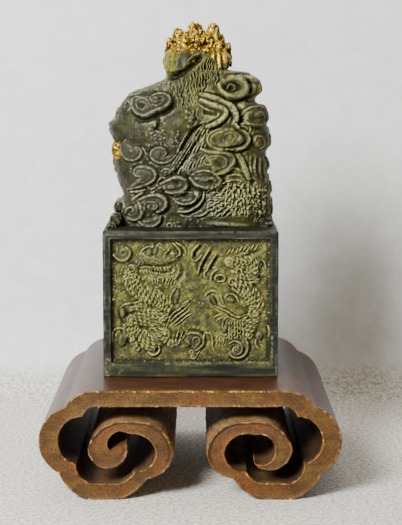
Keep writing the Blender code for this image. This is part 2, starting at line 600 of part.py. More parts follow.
# The knobs of the crest: x, y and top in drawn millimetres, then the half width of each
CREST_TOP_KNOBS = [(-3.7, 0.2, 62.8, 2.0), (1.6, 0.6, 64.5, 2.4), (7.2, -0.4, 64.3, 2.3),
                   (11.4, 0.4, 59.4, 1.9), (-6.6, 0.4, 60.2, 1.7), (12.2, 0.0, 56.6, 1.6),
                   (-7.8, -0.6, 56.4, 1.7)]
# The rows of knobs down its front and back: number, first x, spacing, y, top and half width
CREST_ROWS = [(5, -4.6, 3.6, 3.4, 61.2, 1.9), (5, -6.0, 4.2, 5.6, 58.2, 2.0),
              (6, -6.6, 3.6, 7.4, 55.0, 1.9)]
CREST_KNOB_HEIGHT = 8.0
# How much higher the middle of a row stands than its ends
CREST_ARCH = 1.6
# The curls at the finial's foot: x, y, half width, half depth and height in drawn millimetres
FOOT_CURLS = [(-23.4, -10.5, 3.4, 4.6, 6.0), (24.0, 4.0, 2.6, 4.4, 4.4)]


def ball_solid(name, place, half_sizes, guides):
    """A ball stretched to three half sizes at a place, both in drawn millimetres of the finial."""
    drawn = np.array((BLOCK_WIDTH / DRAWN_FINIAL_WIDTH, FINIAL_DEPTH / 2 / DRAWN_FINIAL_HALF_DEPTH,
                      FINIAL_HEIGHT / DRAWN_FINIAL_HEIGHT))
    bm = bmesh.new()
    bmesh.ops.create_uvsphere(bm, u_segments=6, v_segments=4, radius=1.0)
    bmesh.ops.scale(bm, verts=bm.verts, vec=Vector(drawn * half_sizes))
    bmesh.ops.translate(bm, verts=bm.verts,
                        vec=Vector(drawn * place + (0.0, BLOCK_MIDDLE_Y, BLOCK_TOP_Z)))
    mesh = bpy.data.meshes.new(name)
    bm.to_mesh(mesh)
    bm.free()
    return mesh_object(name, mesh, None, guides)


def crest_knobs():
    """Each knob of the crest as x, y, top and half width, front and back rows alike."""
    knobs = list(CREST_TOP_KNOBS)
    for count, first_x, spacing, y, top, half_width in CREST_ROWS:
        for hand in (-1, 1):
            for number in range(count):
                arch = CREST_ARCH * (math.sin(math.pi * (number + 0.5) / count) - 1)
                knobs.append((first_x + spacing * number, hand * y, top + arch, half_width))
    return knobs


def make_finial(guides):
    """The finial, the knobs of its crest and its foot curls, as solids for joining to the block."""
    points = finial_points(FINIAL_RINGS, FINIAL_STEPS_ROUND) + (0.0, BLOCK_MIDDLE_Y, BLOCK_TOP_Z)
    finial = mesh_object("finial", grid_mesh("finial", points), None, guides)
    thin = finial.modifiers.new("thin the smooth places", 'DECIMATE')
    thin.ratio = FINIAL_SHARE_KEPT
    solids = [finial]
    for number, (x, y, top, half_width) in enumerate(crest_knobs()):
        half_height = CREST_KNOB_HEIGHT / 2
        solids.append(ball_solid(f"crest_knob_{number}", (x, y, top - half_height),
                                 (half_width, half_width, half_height), guides))
    root = FINIAL_ROOT / MM
    for number, (x, y, half_width, half_depth, height) in enumerate(FOOT_CURLS):
        solids.append(ball_solid(f"foot_curl_{number}", (x, y, (height - root) / 2),
                                 (half_width, half_depth, (height + root) / 2), guides))
    for item in solids:
        item.hide_render = True
        item.display_type = 'WIRE'
    return solids


def make_seal(material, collection, guides):
    """The block with the finial and its crest joined on: one casting."""
    seal = make_block(material, collection)
    thin = seal.modifiers.new("thin the flat places", 'DECIMATE')
    thin.ratio = BLOCK_SHARE_KEPT
    for solid in make_finial(guides):
        join = seal.modifiers.new(f"join {solid.name}", 'BOOLEAN')
        join.operation = 'UNION'
        join.solver = 'EXACT'
        join.object = solid
    return seal


def main():
    clear_scene()
    bronze = make_material("patinated bronze", (0.10, 0.11, 0.06), 0.45, 0.75)
    wood = make_material("red-brown wood", (0.16, 0.05, 0.025), 0.45, 0.0)
    part = make_collection("dragon_seal_on_stand")
    guides = make_collection("joined_solids")
    make_stand(wood, part)
    make_seal(bronze, part, guides)


main()
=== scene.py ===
# %% [markdown]
# # A cast dragon seal on a carved scroll stand
#
# The object is a desk seal. Its casting is a square block with a framed relief panel on each side
# and a tall finial of clouds, ribbons and hair round a dragon's head, under a gilded crest. It
# rests on a wooden stand whose board rolls into two scrolls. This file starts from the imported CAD
# model, which stays as the measure of every place, and lays finer surfaces and finishes over it.

# %% Load the frame and note its size
import math

import bmesh
import bpy
import numpy as np
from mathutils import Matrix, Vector


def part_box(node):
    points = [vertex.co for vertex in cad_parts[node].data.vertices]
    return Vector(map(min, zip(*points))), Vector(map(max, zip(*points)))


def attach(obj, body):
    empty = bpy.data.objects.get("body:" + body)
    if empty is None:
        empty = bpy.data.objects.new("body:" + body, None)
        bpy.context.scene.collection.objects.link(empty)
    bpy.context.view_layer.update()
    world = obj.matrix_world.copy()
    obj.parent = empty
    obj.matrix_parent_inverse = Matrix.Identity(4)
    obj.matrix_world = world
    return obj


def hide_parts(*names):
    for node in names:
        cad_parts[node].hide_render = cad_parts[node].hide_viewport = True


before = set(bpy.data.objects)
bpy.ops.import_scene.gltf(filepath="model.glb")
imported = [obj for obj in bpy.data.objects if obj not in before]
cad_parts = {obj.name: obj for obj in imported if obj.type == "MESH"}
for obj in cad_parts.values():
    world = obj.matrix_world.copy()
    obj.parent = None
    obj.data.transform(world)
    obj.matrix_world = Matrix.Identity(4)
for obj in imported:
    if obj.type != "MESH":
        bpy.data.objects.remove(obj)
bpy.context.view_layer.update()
MM = 0.001
seal_low, seal_high = (np.array(corner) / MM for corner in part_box("dragon_seal"))
stand_low, stand_high = (np.array(corner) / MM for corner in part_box("scroll_stand"))
BLOCK = 55.0
BLOCK_HEIGHT = 46.2
BLOCK_MIDDLE_Y = (seal_low[1] + seal_high[1]) / 2
BLOCK_FLOOR = seal_low[2]
BLOCK_TOP = BLOCK_FLOOR + BLOCK_HEIGHT
print("seal", seal_low.round(1), seal_high.round(1), "stand", stand_low.round(1), stand_high.round(1))

# %% [markdown]
# ## Surfaces as arrays
#
# Every surface here is a grid of points. A row of the grid runs once round the piece, and the rows
# are stacked from its foot to its top. Working on whole arrays keeps the carving quick, and one
# helper turns any such grid into a mesh. Numbers that the materials need at each point, such as
# how deep it lies in the carving, go into the mesh as attributes of the same name.


# %% Turn a grid of points into a mesh
def ring_faces(rows, columns):
    """Quads of a closed band: point (r, c) joins (r, c+1), (r+1, c+1) and (r+1, c)."""
    index = np.arange(rows * columns).reshape(rows, columns)
    after = np.roll(index, -1, axis=1)
    return np.stack((index[:-1], after[:-1], after[1:], index[1:]), axis=-1).reshape(-1, 4)


def surface_object(name, points, faces, caps=(), **values):
    """A smooth mesh object from points in millimetres, quads, end caps and named values."""
    mesh = bpy.data.meshes.new(name)
    mesh.from_pydata((points.reshape(-1, 3) * MM).tolist(), [],
                     faces.tolist() + [list(cap) for cap in caps])
    for value_name, value in values.items():
        attribute = mesh.attributes.new(value_name, 'FLOAT', 'POINT')
        attribute.data.foreach_set("value", np.ascontiguousarray(value, np.float32).ravel())
    mesh.shade_smooth()
    mesh.update()
    item = bpy.data.objects.new(name, mesh)
    bpy.context.scene.collection.objects.link(item)
    mesh.calc_loop_triangles()
    print(name, len(mesh.loop_triangles), "triangles")
    return item


def closed_band(name, points, **values):
    """A mesh of stacked closed rows, with a face over its first row and one over its last."""
    rows, columns = points.shape[:2]
    caps = np.arange(columns)[::-1], (rows - 1) * columns + np.arange(columns)
    return surface_object(name, points, ring_faces(rows, columns), caps, **values)


def waves(places, pitch, seed, count=7):
    """Soft unevenness from -1 to 1: a sum of sines of random direction and phase."""
    random = np.random.default_rng(seed)
    total = 0
    for _ in range(count):
        way = random.normal(size=3)
        way /= np.linalg.norm(way)
        total = total + np.sin(places @ way * math.tau / pitch / random.uniform(0.6, 1.5)
                               + random.uniform(0, math.tau))
    return total / math.sqrt(count) / 1.4


def step_between(value, low, high):
    """0 below low, 1 above high, 3s^2 - 2s^3 between."""
    s = np.clip((value - low) / (high - low), 0, 1)
    return s * s * (3 - 2 * s)


# %% [markdown]
# ## Carving as a height field
#
# A relief is drawn the way a carver works it. Masses come first, then ridges and ribbons are laid
# over them, each with a narrow moat beside it that catches the shade, and hollows are cut last.
# The drawing is a grid of heights in millimetres. From the same heights come two more values: how
# deep a point lies below its surroundings, where patina and dirt stay, and how far it stands
# above them, where hands have rubbed it bright.


# %% A grid of heights with a carver's strokes
def smooth_line(points, steps=4):
    """A Catmull-Rom curve through a few points."""
    knots = np.array([points[0], *points, points[-1]], float)
    share = np.linspace(0, 1, steps, endpoint=False)[:, None]
    runs = [0.5 * (2 * b + (c - a) * share + (2 * a - 5 * b + 4 * c - d) * share ** 2
                   + (3 * b - a - 3 * c + d) * share ** 3)
            for a, b, c, d in zip(knots, knots[1:], knots[2:], knots[3:])]
    return np.vstack([*runs, knots[-1:]])


def at_share(line, share):
    """The place at a share of a line, by its count of points."""
    along = share * (len(line) - 1)
    point, after = line[int(along)], line[min(int(along) + 1, len(line) - 1)]
    return point + (after - point) * (along % 1)


def blur(field, reach, reach_across=None):
    """A Gaussian blur: each frequency f of the padded field is scaled by exp(-2 (pi reach f)^2)."""
    reach_across = reach_across or reach
    margin = int(4 * max(reach, reach_across)) + 2
    padded = np.pad(field, margin, mode="edge")
    up = np.fft.fftfreq(padded.shape[0])[:, None]
    across = np.fft.rfftfreq(padded.shape[1])[None, :]
    kept = np.exp(-2 * math.pi ** 2 * ((reach * up) ** 2 + (reach_across * across) ** 2))
    soft = np.fft.irfft2(np.fft.rfft2(padded) * kept, s=padded.shape)
    return soft[margin:-margin, margin:-margin]


class Relief:
    """Heights in millimetres over x and z, with the strokes that shape them."""

    def __init__(self, left, right, bottom, top, pitch, seed, fine=1.0):
        self.left, self.bottom, self.pitch, self.fine = left, bottom, pitch, fine
        self.x = np.arange(left, right + pitch, pitch)
        self.z = np.arange(bottom, top + pitch, pitch)
        self.height = np.zeros((len(self.z), len(self.x)))
        self.rough, self.slate = np.zeros_like(self.height), np.zeros_like(self.height)
        self.random = np.random.default_rng(seed)
        self.maps = {}

    def window(self, x0, z0, x1, z1):
        """The part of the grid between four limits, with its coordinates."""
        columns = slice(*np.searchsorted(self.x, (x0, x1)))
        rows = slice(*np.searchsorted(self.z, (z0, z1)))
        return (rows, columns), *np.meshgrid(self.x[columns], self.z[rows])

    def near(self, line, reach):
        """For points near a line: distance from it, length along it, share of it, and side."""
        line = np.asarray(line, float)
        place, across, up = self.window(*(line.min(0) - reach), *(line.max(0) + reach))
        gap, arc, side = np.full(across.shape, np.inf), np.zeros(across.shape), np.ones(across.shape)
        gone = 0.0
        for start, way in zip(line, np.diff(line, axis=0)):
            length = max(math.hypot(*way), 1e-6)
            share = ((across - start[0]) * way[0] + (up - start[1]) * way[1]) / length ** 2
            share = np.clip(share, 0, 1)
            dx, dz = across - start[0] - share * way[0], up - start[1] - share * way[1]
            closer = np.hypot(dx, dz) < gap
            gap = np.where(closer, np.hypot(dx, dz), gap)
            arc = np.where(closer, gone + share * length, arc)
            side = np.where(closer, np.sign(way[0] * dz - way[1] * dx), side)
            gone += length
        return place, gap, arc, arc / gone, side

    def oval(self, x, z, half_width, half_height, lean):
        """The grid round an oval leaning by some degrees, and (u / a)^2 and (v / b)^2 there."""
        reach = max(half_width, half_height)
        place, across, up = self.window(x - reach, z - reach, x + reach, z + reach)
        c, s = math.cos(math.radians(lean)), math.sin(math.radians(lean))
        u, v = (across - x) * c + (up - z) * s, (up - z) * c - (across - x) * s
        return place, (u / half_width) ** 2, (v / half_height) ** 2

    def mound(self, x, z, half_width, half_height, rise, lean=0.0):
        """A soft swelling, rise * (1 - r^2)^1.5 inside an oval."""
        place, u2, v2 = self.oval(x, z, half_width, half_height, lean)
        self.height[place] += rise * np.clip(1 - u2 - v2, 0, 1) ** 1.5

    def boss(self, x, z, half_width, half_height, rise, lean=0.0):
        """A firm knob, rise * (1 - r^4), in a narrow moat."""
        self.mound(x, z, half_width * 1.7, half_height * 1.7, -0.35 * rise, lean)
        place, u2, v2 = self.oval(x, z, half_width, half_height, lean)
        r2 = u2 + v2
        self.height[place] += rise * np.clip(1 - r2 * r2, 0, 1)
        self.slate[place] = np.maximum(self.slate[place], np.clip(1.6 - r2, 0, 1))

    def ridge(self, half_width, rise, points, moat=0.35, tip=0.45):
        """A raised line, rise * (1 - (d / w)^2)^1.7, thinner at its ends, with a moat beside it."""
        line = smooth_line(points)
        half_width, rise = half_width * self.fine, rise * (0.3 + 0.7 * self.fine)
        place, gap, _, share, _ = self.near(line, half_width * 3.2)
        width = half_width * (1 - (1 - tip) * np.abs(2 * share - 1) ** 3)
        body = np.clip(1 - (gap / width) ** 2, 0, 1) ** 1.7
        beside = np.exp(-((gap - 1.75 * width) / (0.8 * width)) ** 2)
        self.height[place] += rise * (body - moat * beside)

    def plate(self, points, rise, soft=0.28):
        """A flat raised patch inside a closed line, found by counting the line's crossings."""
        line = np.asarray(smooth_line(points), float)
        place, across, up = self.window(*(line.min(0) - 1), *(line.max(0) + 1))
        inside = np.zeros(across.shape, bool)
        for (ax, az), (bx, bz) in zip(line, np.roll(line, -1, axis=0)):
            if az != bz:
                meets = ax + (up - az) * (bx - ax) / (bz - az)
                inside ^= ((az > up) != (bz > up)) & (across < meets)
        patch = blur(inside.astype(float), soft / self.pitch)
        self.height[place] += rise * patch
        self.slate[place] = np.maximum(self.slate[place], 0.8 * patch)

    def curl(self, half_width, rise, points, fill=0.75, moat=0.5):
        """A cloud curl: a plate of fill * rise whose edge carries a rim."""
        self.plate(points, fill * rise)
        self.ridge(half_width * 1.3, rise * (1.15 - 0.5 * fill), points, moat)

    def ribbon(self, half_width, rise, points, moat=0.5):
        """A flat band with rounded sides, rise * (1 - (d / w)^6), in a moat."""
        line = smooth_line(points)
        place, gap, _, share, _ = self.near(line, half_width * 2.6)
        width = half_width * (1 - 0.35 * np.abs(2 * share - 1) ** 5)
        body = np.clip(1 - (gap / width) ** 6, 0, 1)
        crown = 0.25 * np.clip(1 - (gap / width) ** 2, 0, 1)
        beside = np.exp(-((gap - 1.45 * width) / (0.4 * width)) ** 2)
        self.height[place] += rise * (body * 0.8 + crown - moat * beside)
        self.slate[place] = np.maximum(self.slate[place] * (1 - body), 0.25 * body)

    def groove(self, half_width, depth, points):
        """A cut, depth * exp(-(d / w)^2), shallower at its ends."""
        place, gap, _, share, _ = self.near(smooth_line(points), half_width * 3)
        ends = np.clip(6 * np.minimum(share, 1 - share), 0.25, 1)
        self.height[place] -= depth * ends * np.exp(-(gap / half_width) ** 2)

    def ring(self, x, z, half_width, half_height, line, rise, moat=0.4):
        """A closed oval ridge."""
        turn = np.linspace(0, math.tau, 13)
        points = np.column_stack((x + half_width * np.cos(turn), z + half_height * np.sin(turn)))
        self.ridge(line, rise, points, moat, tip=1.0)

    def swirl(self, x, z, radius, start, turns, rise):
        """A cloud curl: a low dome under a ridge that winds in, its radius falling to a fifth."""
        self.mound(x, z, radius * 1.15, radius * 1.15, rise * 0.5)
        share = np.linspace(0, 1, 14)
        angle = math.radians(start) + share * turns * math.tau
        reach = radius * (1 - 0.8 * share)
        curl = np.column_stack((x + reach * np.cos(angle), z + reach * np.sin(angle)))
        self.ridge(radius * 0.17, rise, curl, moat=0.6, tip=0.7)
        self.mound(x, z, radius * 0.22, radius * 0.22, rise * 0.6)

    def hair(self, roots, tips, count, half_width, rise, sway, pitch=3.2):
        """Strands between two lines, each pushed sideways by sway * sin(2 pi length / pitch)."""
        roots, tips = smooth_line(roots, 3), smooth_line(tips, 3)
        for strand in range(count):
            part = np.clip((strand + self.random.uniform(-0.2, 0.2)) / max(count - 1, 1), 0, 1)
            root = at_share(roots, part)
            way = at_share(tips, part) - root
            length = math.hypot(*way)
            share = np.linspace(0, self.random.uniform(0.82, 1.06), 8)[:, None]
            push = sway * np.sin(share * length * math.tau / pitch + self.random.uniform(0, 2.5))
            across = np.array((-way[1], way[0])) / length
            self.ridge(half_width * self.random.uniform(0.8, 1.2),
                       rise * self.random.uniform(0.7, 1.15), root + way * share + across * push,
                       moat=0.5)

    def scales(self, points, half_width, mass, rise, pitch):
        """A round body under rows of scales: bowed, leaning ticks over pits, half a step apart."""
        place, gap, arc, share, side = self.near(smooth_line(points), half_width + 1.2)
        width = half_width * (1 - 0.3 * np.abs(2 * share - 1) ** 3)
        inside = np.clip(1 - (gap / width) ** 2, 0, 1)
        across, up = np.meshgrid(self.x[place[1]], self.z[place[0]])
        wander = 0.08 * np.sin(across * 1.5 + up * 0.9) + 0.07 * np.sin(up * 1.8 - across * 0.8)
        row = (arc + wander) / pitch
        column = (gap * side + 1.4 * wander) / (0.85 * pitch) + 0.5 * (np.floor(row) % 2)
        u, v = row % 1 - 0.5, column % 1 - 0.5
        strong = 0.75 + 0.35 * np.sin(12.9 * np.floor(row) + 78.2 * np.floor(column))
        bowed, behind = u - 0.12 + 0.6 * v + 1.4 * v * v, u + 0.27 + 0.6 * v
        tick = np.exp(-(bowed / 0.16) ** 2) * np.clip(2.1 - 5.0 * np.abs(v), 0, 1)
        pit = np.exp(-(behind / 0.17) ** 2) * np.clip(1.8 - 3.6 * np.abs(v), 0, 1)
        edge = np.exp(-((gap - width * 1.15) / 0.45) ** 2)
        body = np.clip(inside * 3, 0, 1)
        self.height[place] += mass * inside ** 0.6 + rise * (tick * strong - 0.75 * pit) * body
        self.height[place] -= 0.35 * mass * edge

    def crumbs(self, x0, z0, x1, z1, count, half_width, rise):
        """Small knobs scattered over a patch, as a cast ground has."""
        for x, z in self.random.uniform((x0, z0), (x1, z1), (count, 2)):
            self.mound(x, z, half_width * self.random.uniform(0.7, 1.4),
                       half_width * self.random.uniform(0.7, 1.4), rise * self.random.uniform(0.5, 1))

    def skin(self, x0, z0, x1, z1, rise, up=0.35, across=0.35):
        """Rough cast skin over a patch: blurred noise, drawn out upwards or across."""
        place, _, _ = self.window(x0, z0, x1, z1)
        noise = self.random.normal(size=self.height[place].shape)
        noise = blur(noise, up / self.pitch, across / self.pitch)
        edges = [np.clip(6 * np.minimum(line, 1 - line), 0, 1) for line in
                 (np.linspace(0, 1, length) for length in noise.shape)]
        noise *= edges[0][:, None] * edges[1][None, :]
        self.rough[place] += rise * noise / noise.std()

    def finish(self, lowest, highest):
        """Limit the heights softly and work out the maps that the finishes read."""
        middle, half = (highest + lowest) / 2, (highest - lowest) / 2
        away = (self.height - middle) / half
        self.height = middle + half * away / (1 + np.abs(away) ** 6) ** (1 / 6)
        self.height = blur(self.height, 0.07 / self.pitch)
        wide, near = blur(self.height, 0.8 / self.pitch), blur(self.height, 0.4 / self.pitch)
        detail, sharp = self.height - wide, self.height - near
        crest = self.height - blur(self.height, 0.3 / self.pitch)
        busy = np.clip(blur(np.abs(sharp), 0.8 / self.pitch) / 0.085, 0, 1)
        slate = np.clip(blur(self.slate, 0.15 / self.pitch), 0, 1)
        self.height = self.height + self.rough
        self.maps = {"height": self.height,
                     "cavity": np.clip((-detail - 0.05) / 0.33, 0, 1),
                     "worn": np.clip((crest + 0.09 * detail - 0.025) / 0.11, 0, 1) * (1 - 0.7 * slate),
                     "busy": busy, "slate": slate}
        print("relief", self.height.shape, "from", round(self.height.min(), 2), "to",
              round(self.height.max(), 2), "mm")
        return self

    def read(self, name, x, z):
        """A map's value at any places, evenly between the four nearest grid points."""
        field = self.maps[name]
        column = np.clip((x - self.left) / self.pitch, 0, field.shape[1] - 1.001)
        row = np.clip((z - self.bottom) / self.pitch, 0, field.shape[0] - 1.001)
        c, r = column.astype(int), row.astype(int)
        u, v = column - c, row - r
        return ((field[r, c] * (1 - u) + field[r, c + 1] * u) * (1 - v)
                + (field[r + 1, c] * (1 - u) + field[r + 1, c + 1] * u) * v)


# %% [markdown]
# ## The panel
#
# The panel shows two dragons among clouds, flames and a pearl. The left one looks right from the
# upper left, with its body winding down in an S. The right one hangs from the top, its head low in
# the middle. Coordinates are millimetres from the panel's middle line and from the block's foot.


# %% Draw the relief of the panel
def panel_relief(full):
    """The panel's relief. Without full it leaves out its smallest strokes."""
    p = Relief(-25.6, 25.6, 3.4, 44.6, 0.12, 5, 0.8)
    # The left dragon's body and legs
    p.scales([(-18.4, 33.6), (-18.8, 30.6), (-16.8, 27.8), (-13.0, 25.6), (-9.6, 24.0), (-8.4, 21.4),
              (-10.6, 19.2), (-14.4, 18.6), (-18.4, 17.8)], 2.9, 0.55, 0.8, 1.4)
    p.scales([(-19.2, 17.4), (-18.2, 14.0), (-15.4, 11.8), (-11.8, 11.4), (-8.4, 13.4)],
             3.1, 0.55, 0.8, 1.4)
    p.scales([(-13.2, 21.6), (-15.6, 22.0), (-18.2, 21.4)], 1.5, 0.3, 0.75, 1.45)
    p.scales([(-12.4, 15.2), (-9.2, 16.6), (-7.4, 19.0)], 1.6, 0.3, 0.75, 1.45)
    p.scales([(-18.6, 12.2), (-17.6, 9.8), (-16.4, 8.6)], 1.3, 0.4, 0.6, 1.2)
    p.scales([(-8.4, 11.8), (-6.0, 10.4), (-3.4, 11.2)], 1.3, 0.4, 0.6, 1.2)
    p.boss(-21.5, 20.3, 1.0, 1.9, 1.0, 12)
    p.ridge(0.35, 0.8, [(-22.2, 21.8), (-20.4, 23.0), (-17.6, 23.3), (-15.2, 24.2)])
    # Its head
    p.mound(-10.5, 37.2, 6.2, 5.4, 0.7)
    p.boss(-12.9, 39.5, 1.1, 1.0, 0.9)
    p.boss(-11.1, 39.9, 0.8, 1.3, 0.6, -20)
    p.ridge(0.35, 0.6, [(-15.8, 38.4), (-15.0, 40.2), (-13.2, 41.2), (-11.6, 41.0)])
    p.ridge(0.3, 0.6, [(-10.8, 40.4), (-10.4, 41.6), (-9.4, 42.4)])
    p.plate([(-17.9, 33.6), (-17.4, 36.2), (-15.4, 38.0), (-12.0, 38.2), (-9.4, 37.2), (-6.4, 38.2),
             (-3.9, 38.9), (-4.2, 37.2), (-6.6, 36.2), (-10.0, 35.6), (-13.6, 36.0), (-15.6, 35.0)],
            0.75, 0.4)
    for line in ([(-16.8, 34.6), (-15.4, 37.0)], [(-15.4, 35.4), (-13.8, 37.4)],
                 [(-12.6, 36.6), (-9.8, 36.4)], [(-11.8, 38.0), (-8.6, 36.6)],
                 [(-7.4, 37.4), (-5.0, 38.2)], [(-14.4, 38.6), (-12.6, 37.6)]):
        p.ridge(0.26, 0.45, line)
    p.groove(0.45, 0.35, [(-15.0, 35.0), (-12.6, 35.3), (-9.0, 35.1), (-6.8, 35.7), (-4.8, 36.6)])
    p.groove(0.4, 0.7, [(-12.6, 33.8), (-9.8, 33.0), (-6.6, 33.2)])
    p.hair([(-15.6, 34.6), (-10.0, 33.8)], [(-13.8, 31.6), (-9.0, 30.4)], 8, 0.28, 0.6, 0.15)
    p.ridge(0.36, 0.45, [(-16.4, 34.5), (-13.9, 34.9), (-12.0, 34.4)])
    for number in range(5):
        x = -10.6 + 1.1 * number
        p.ridge(0.28, 0.55, [(x, 34.8), (x + 0.5, 34.0), (x + 0.2 * number, 33.4)], moat=0.5)
    p.boss(-6.3, 34.6, 0.6, 0.7, 0.6)
    p.ridge(0.36, 0.6, [(-12.4, 33.2), (-10.8, 32.8), (-9.6, 32.9)])
    p.ring(-9.4, 30.9, 0.8, 0.8, 0.28, 0.6)
    p.ridge(0.34, 0.7, [(-8.2, 32.6), (-6.4, 32.7), (-5.2, 33.4), (-5.6, 34.6)])
    p.groove(0.5, 0.7, [(-3.6, 36.4), (-2.5, 34.4), (-2.9, 32.0), (-4.6, 29.8)])
    p.ridge(0.3, 0.6, [(-4.4, 35.6), (-3.7, 34.0), (-4.1, 32.2), (-5.2, 30.6)])
    p.hair([(-12.4, 31.4), (-5.4, 31.2)], [(-11.6, 29.4), (-6.2, 28.8)], 7, 0.26, 0.7, 0.1)
    p.ridge(0.42, 1.0, [(-5.7, 42.4), (-4.5, 41.4), (-3.5, 40.2), (-3.3, 38.9), (-4.3, 38.0)])
    p.ridge(0.4, 1.0, [(-4.6, 42.4), (-2.9, 41.5), (-1.7, 40.2), (-1.4, 38.5)])
    p.ridge(0.35, 0.7, [(-8.2, 38.9), (-7.2, 39.6), (-6.5, 40.8)])
    p.mound(-5.6, 39.2, 0.9, 0.8, 0.6)
    for x, z, radius in ((-18.5, 34.3, 1.1), (-18.4, 31.2, 1.35)):
        p.ring(x, z, radius * 0.85, radius, 0.27, 0.55)
    p.ridge(0.25, 0.6, [(-17.2, 32.8), (-16.1, 31.6), (-16.4, 29.9)])
    p.boss(-4.4, 25.2, 0.8, 2.5, 0.9, -14)
    p.ridge(0.3, 0.6, [(-4.3, 28.5), (-5.2, 27.3), (-6.2, 25.6), (-6.5, 24.2)])
    p.boss(-21.0, 19.6, 1.2, 2.4, 0.9, 8)
    p.boss(-15.6, 36.0, 1.4, 0.8, 0.5, 35)
    p.boss(21.6, 34.6, 0.8, 2.6, 0.6)
    p.boss(10.8, 15.0, 0.9, 1.3, 0.6)
    p.boss(7.2, 24.2, 0.8, 1.5, 0.7, 20)
    # Clouds and tassels on the left
    p.curl(0.5, 0.8, [(-24.2, 38.7), (-22.7, 37.2), (-20.8, 36.8), (-19.2, 37.9), (-18.9, 39.7),
                       (-20.2, 41.0)])
    p.mound(-20.9, 39.4, 0.9, 0.8, -0.5)
    p.boss(-22.9, 40.0, 0.6, 1.1, 0.6)
    p.boss(-21.4, 11.6, 1.5, 2.4, 1.0, -15)
    p.ridge(0.42, 0.8, [(-24.3, 10.8), (-24.7, 12.9), (-24.0, 14.7), (-22.4, 15.3), (-20.4, 14.8)])
    for line in ([(-7.7, 15.4), (-6.7, 18.0), (-5.6, 19.9), (-3.6, 21.3), (-1.4, 22.9), (-0.4, 24.3)],
                 [(-6.9, 16.6), (-5.0, 18.9), (-3.0, 20.4), (-1.6, 21.6), (-0.7, 22.7)],
                 [(-6.1, 16.2), (-3.6, 18.5), (-1.6, 20.1), (0.0, 21.2)],
                 [(-5.3, 15.8), (-3.0, 17.6), (-1.0, 19.3), (0.7, 20.0)],
                 [(-3.2, 21.8), (-1.6, 23.5), (0.5, 24.7)],
                 [(-4.9, 10.6), (-4.3, 12.6), (-3.9, 14.4)], [(-3.8, 10.2), (-3.1, 12.2), (-2.4, 14.1)],
                 [(-2.9, 11.3), (-2.0, 13.0), (-0.9, 14.5)]):
        p.ridge(0.33, 1.0, line, moat=0.5)
    p.ridge(0.5, 1.1, [(-10.1, 9.7), (-9.8, 8.3), (-10.8, 7.0), (-12.3, 6.8), (-13.3, 7.7)])
    p.ridge(0.3, 0.7, [(-12.0, 9.3), (-11.2, 8.6), (-11.7, 7.9)])
    p.boss(-14.9, 7.9, 0.9, 0.7, 0.5)
    # The flames: a bright leaf with a hollow on its right
    for root, bend, tip in (((0.3, 37.6), (0.8, 39.9), (2.9, 42.0)),
                            ((2.2, 32.0), (3.1, 35.6), (6.1, 40.7)),
                            ((5.0, 33.4), (6.1, 35.8), (8.1, 38.9))):
        p.ridge(0.5, 1.1, [root, bend, tip], moat=0.2, tip=0.25)
        shade = [(x + 0.95, z - 0.2) for x, z in (root, bend, tip)]
        p.groove(0.5, 0.8, shade)
    p.ridge(0.4, 0.8, [(5.4, 34.0), (4.4, 33.0), (4.5, 31.6), (5.4, 31.2)])
    p.ridge(0.4, 0.7, [(0.2, 37.6), (1.2, 36.6), (2.6, 37.4), (3.6, 38.6)])
    p.ring(9.3, 31.2, 1.6, 1.05, 0.38, 0.8)
    p.mound(9.4, 31.1, 0.8, 0.6, -0.6)
    p.ridge(0.42, 0.8, [(6.3, 30.0), (6.5, 32.0), (7.4, 33.4), (9.0, 34.1)])
    # The right dragon's body, with its comb
    p.scales([(12.4, 36.4), (15.4, 36.2), (18.4, 36.8), (20.4, 34.4), (19.4, 31.6), (16.4, 30.4),
              (13.4, 30.4)], 2.6, 0.55, 0.8, 1.4)
    p.scales([(13.6, 33.4), (17.0, 33.4)], 1.5, 0.3, 0.75, 1.45)
    p.scales([(14.4, 28.4), (17.2, 27.6), (19.2, 25.6), (20.6, 22.6), (19.8, 20.4)],
             2.7, 0.55, 0.8, 1.4)
    p.scales([(20.2, 19.2), (18.4, 16.4), (18.0, 13.4)], 2.6, 0.5, 0.8, 1.4)
    p.scales([(14.8, 16.4), (14.0, 13.0)], 1.7, 0.3, 0.75, 1.45)
    p.groove(0.45, 0.8, [(13.4, 37.7), (16.4, 38.1), (19.0, 39.1), (22.0, 40.2)])
    p.groove(0.7, 0.9, [(22.2, 36.0), (21.8, 33.2), (22.2, 30.4)])
    if full:
        for number in range(8):
            x, z = 11.4 + 1.22 * number, 38.8 + 0.2 * number + 0.3 * math.sin(2.3 * number)
            p.ridge(0.3, 0.85, [(x, z), (x + 0.7, z + 0.9), (x + 1.1, z + 1.7)], moat=0.3)
        for number in range(3):
            p.ridge(0.3, 0.7, [(12.4 + 1.4 * number, 35.0), (13.4 + 1.4 * number, 37.0)], moat=0.5)
    p.ridge(0.35, 0.7, [(21.0, 37.6), (23.2, 36.2), (23.6, 33.0)])
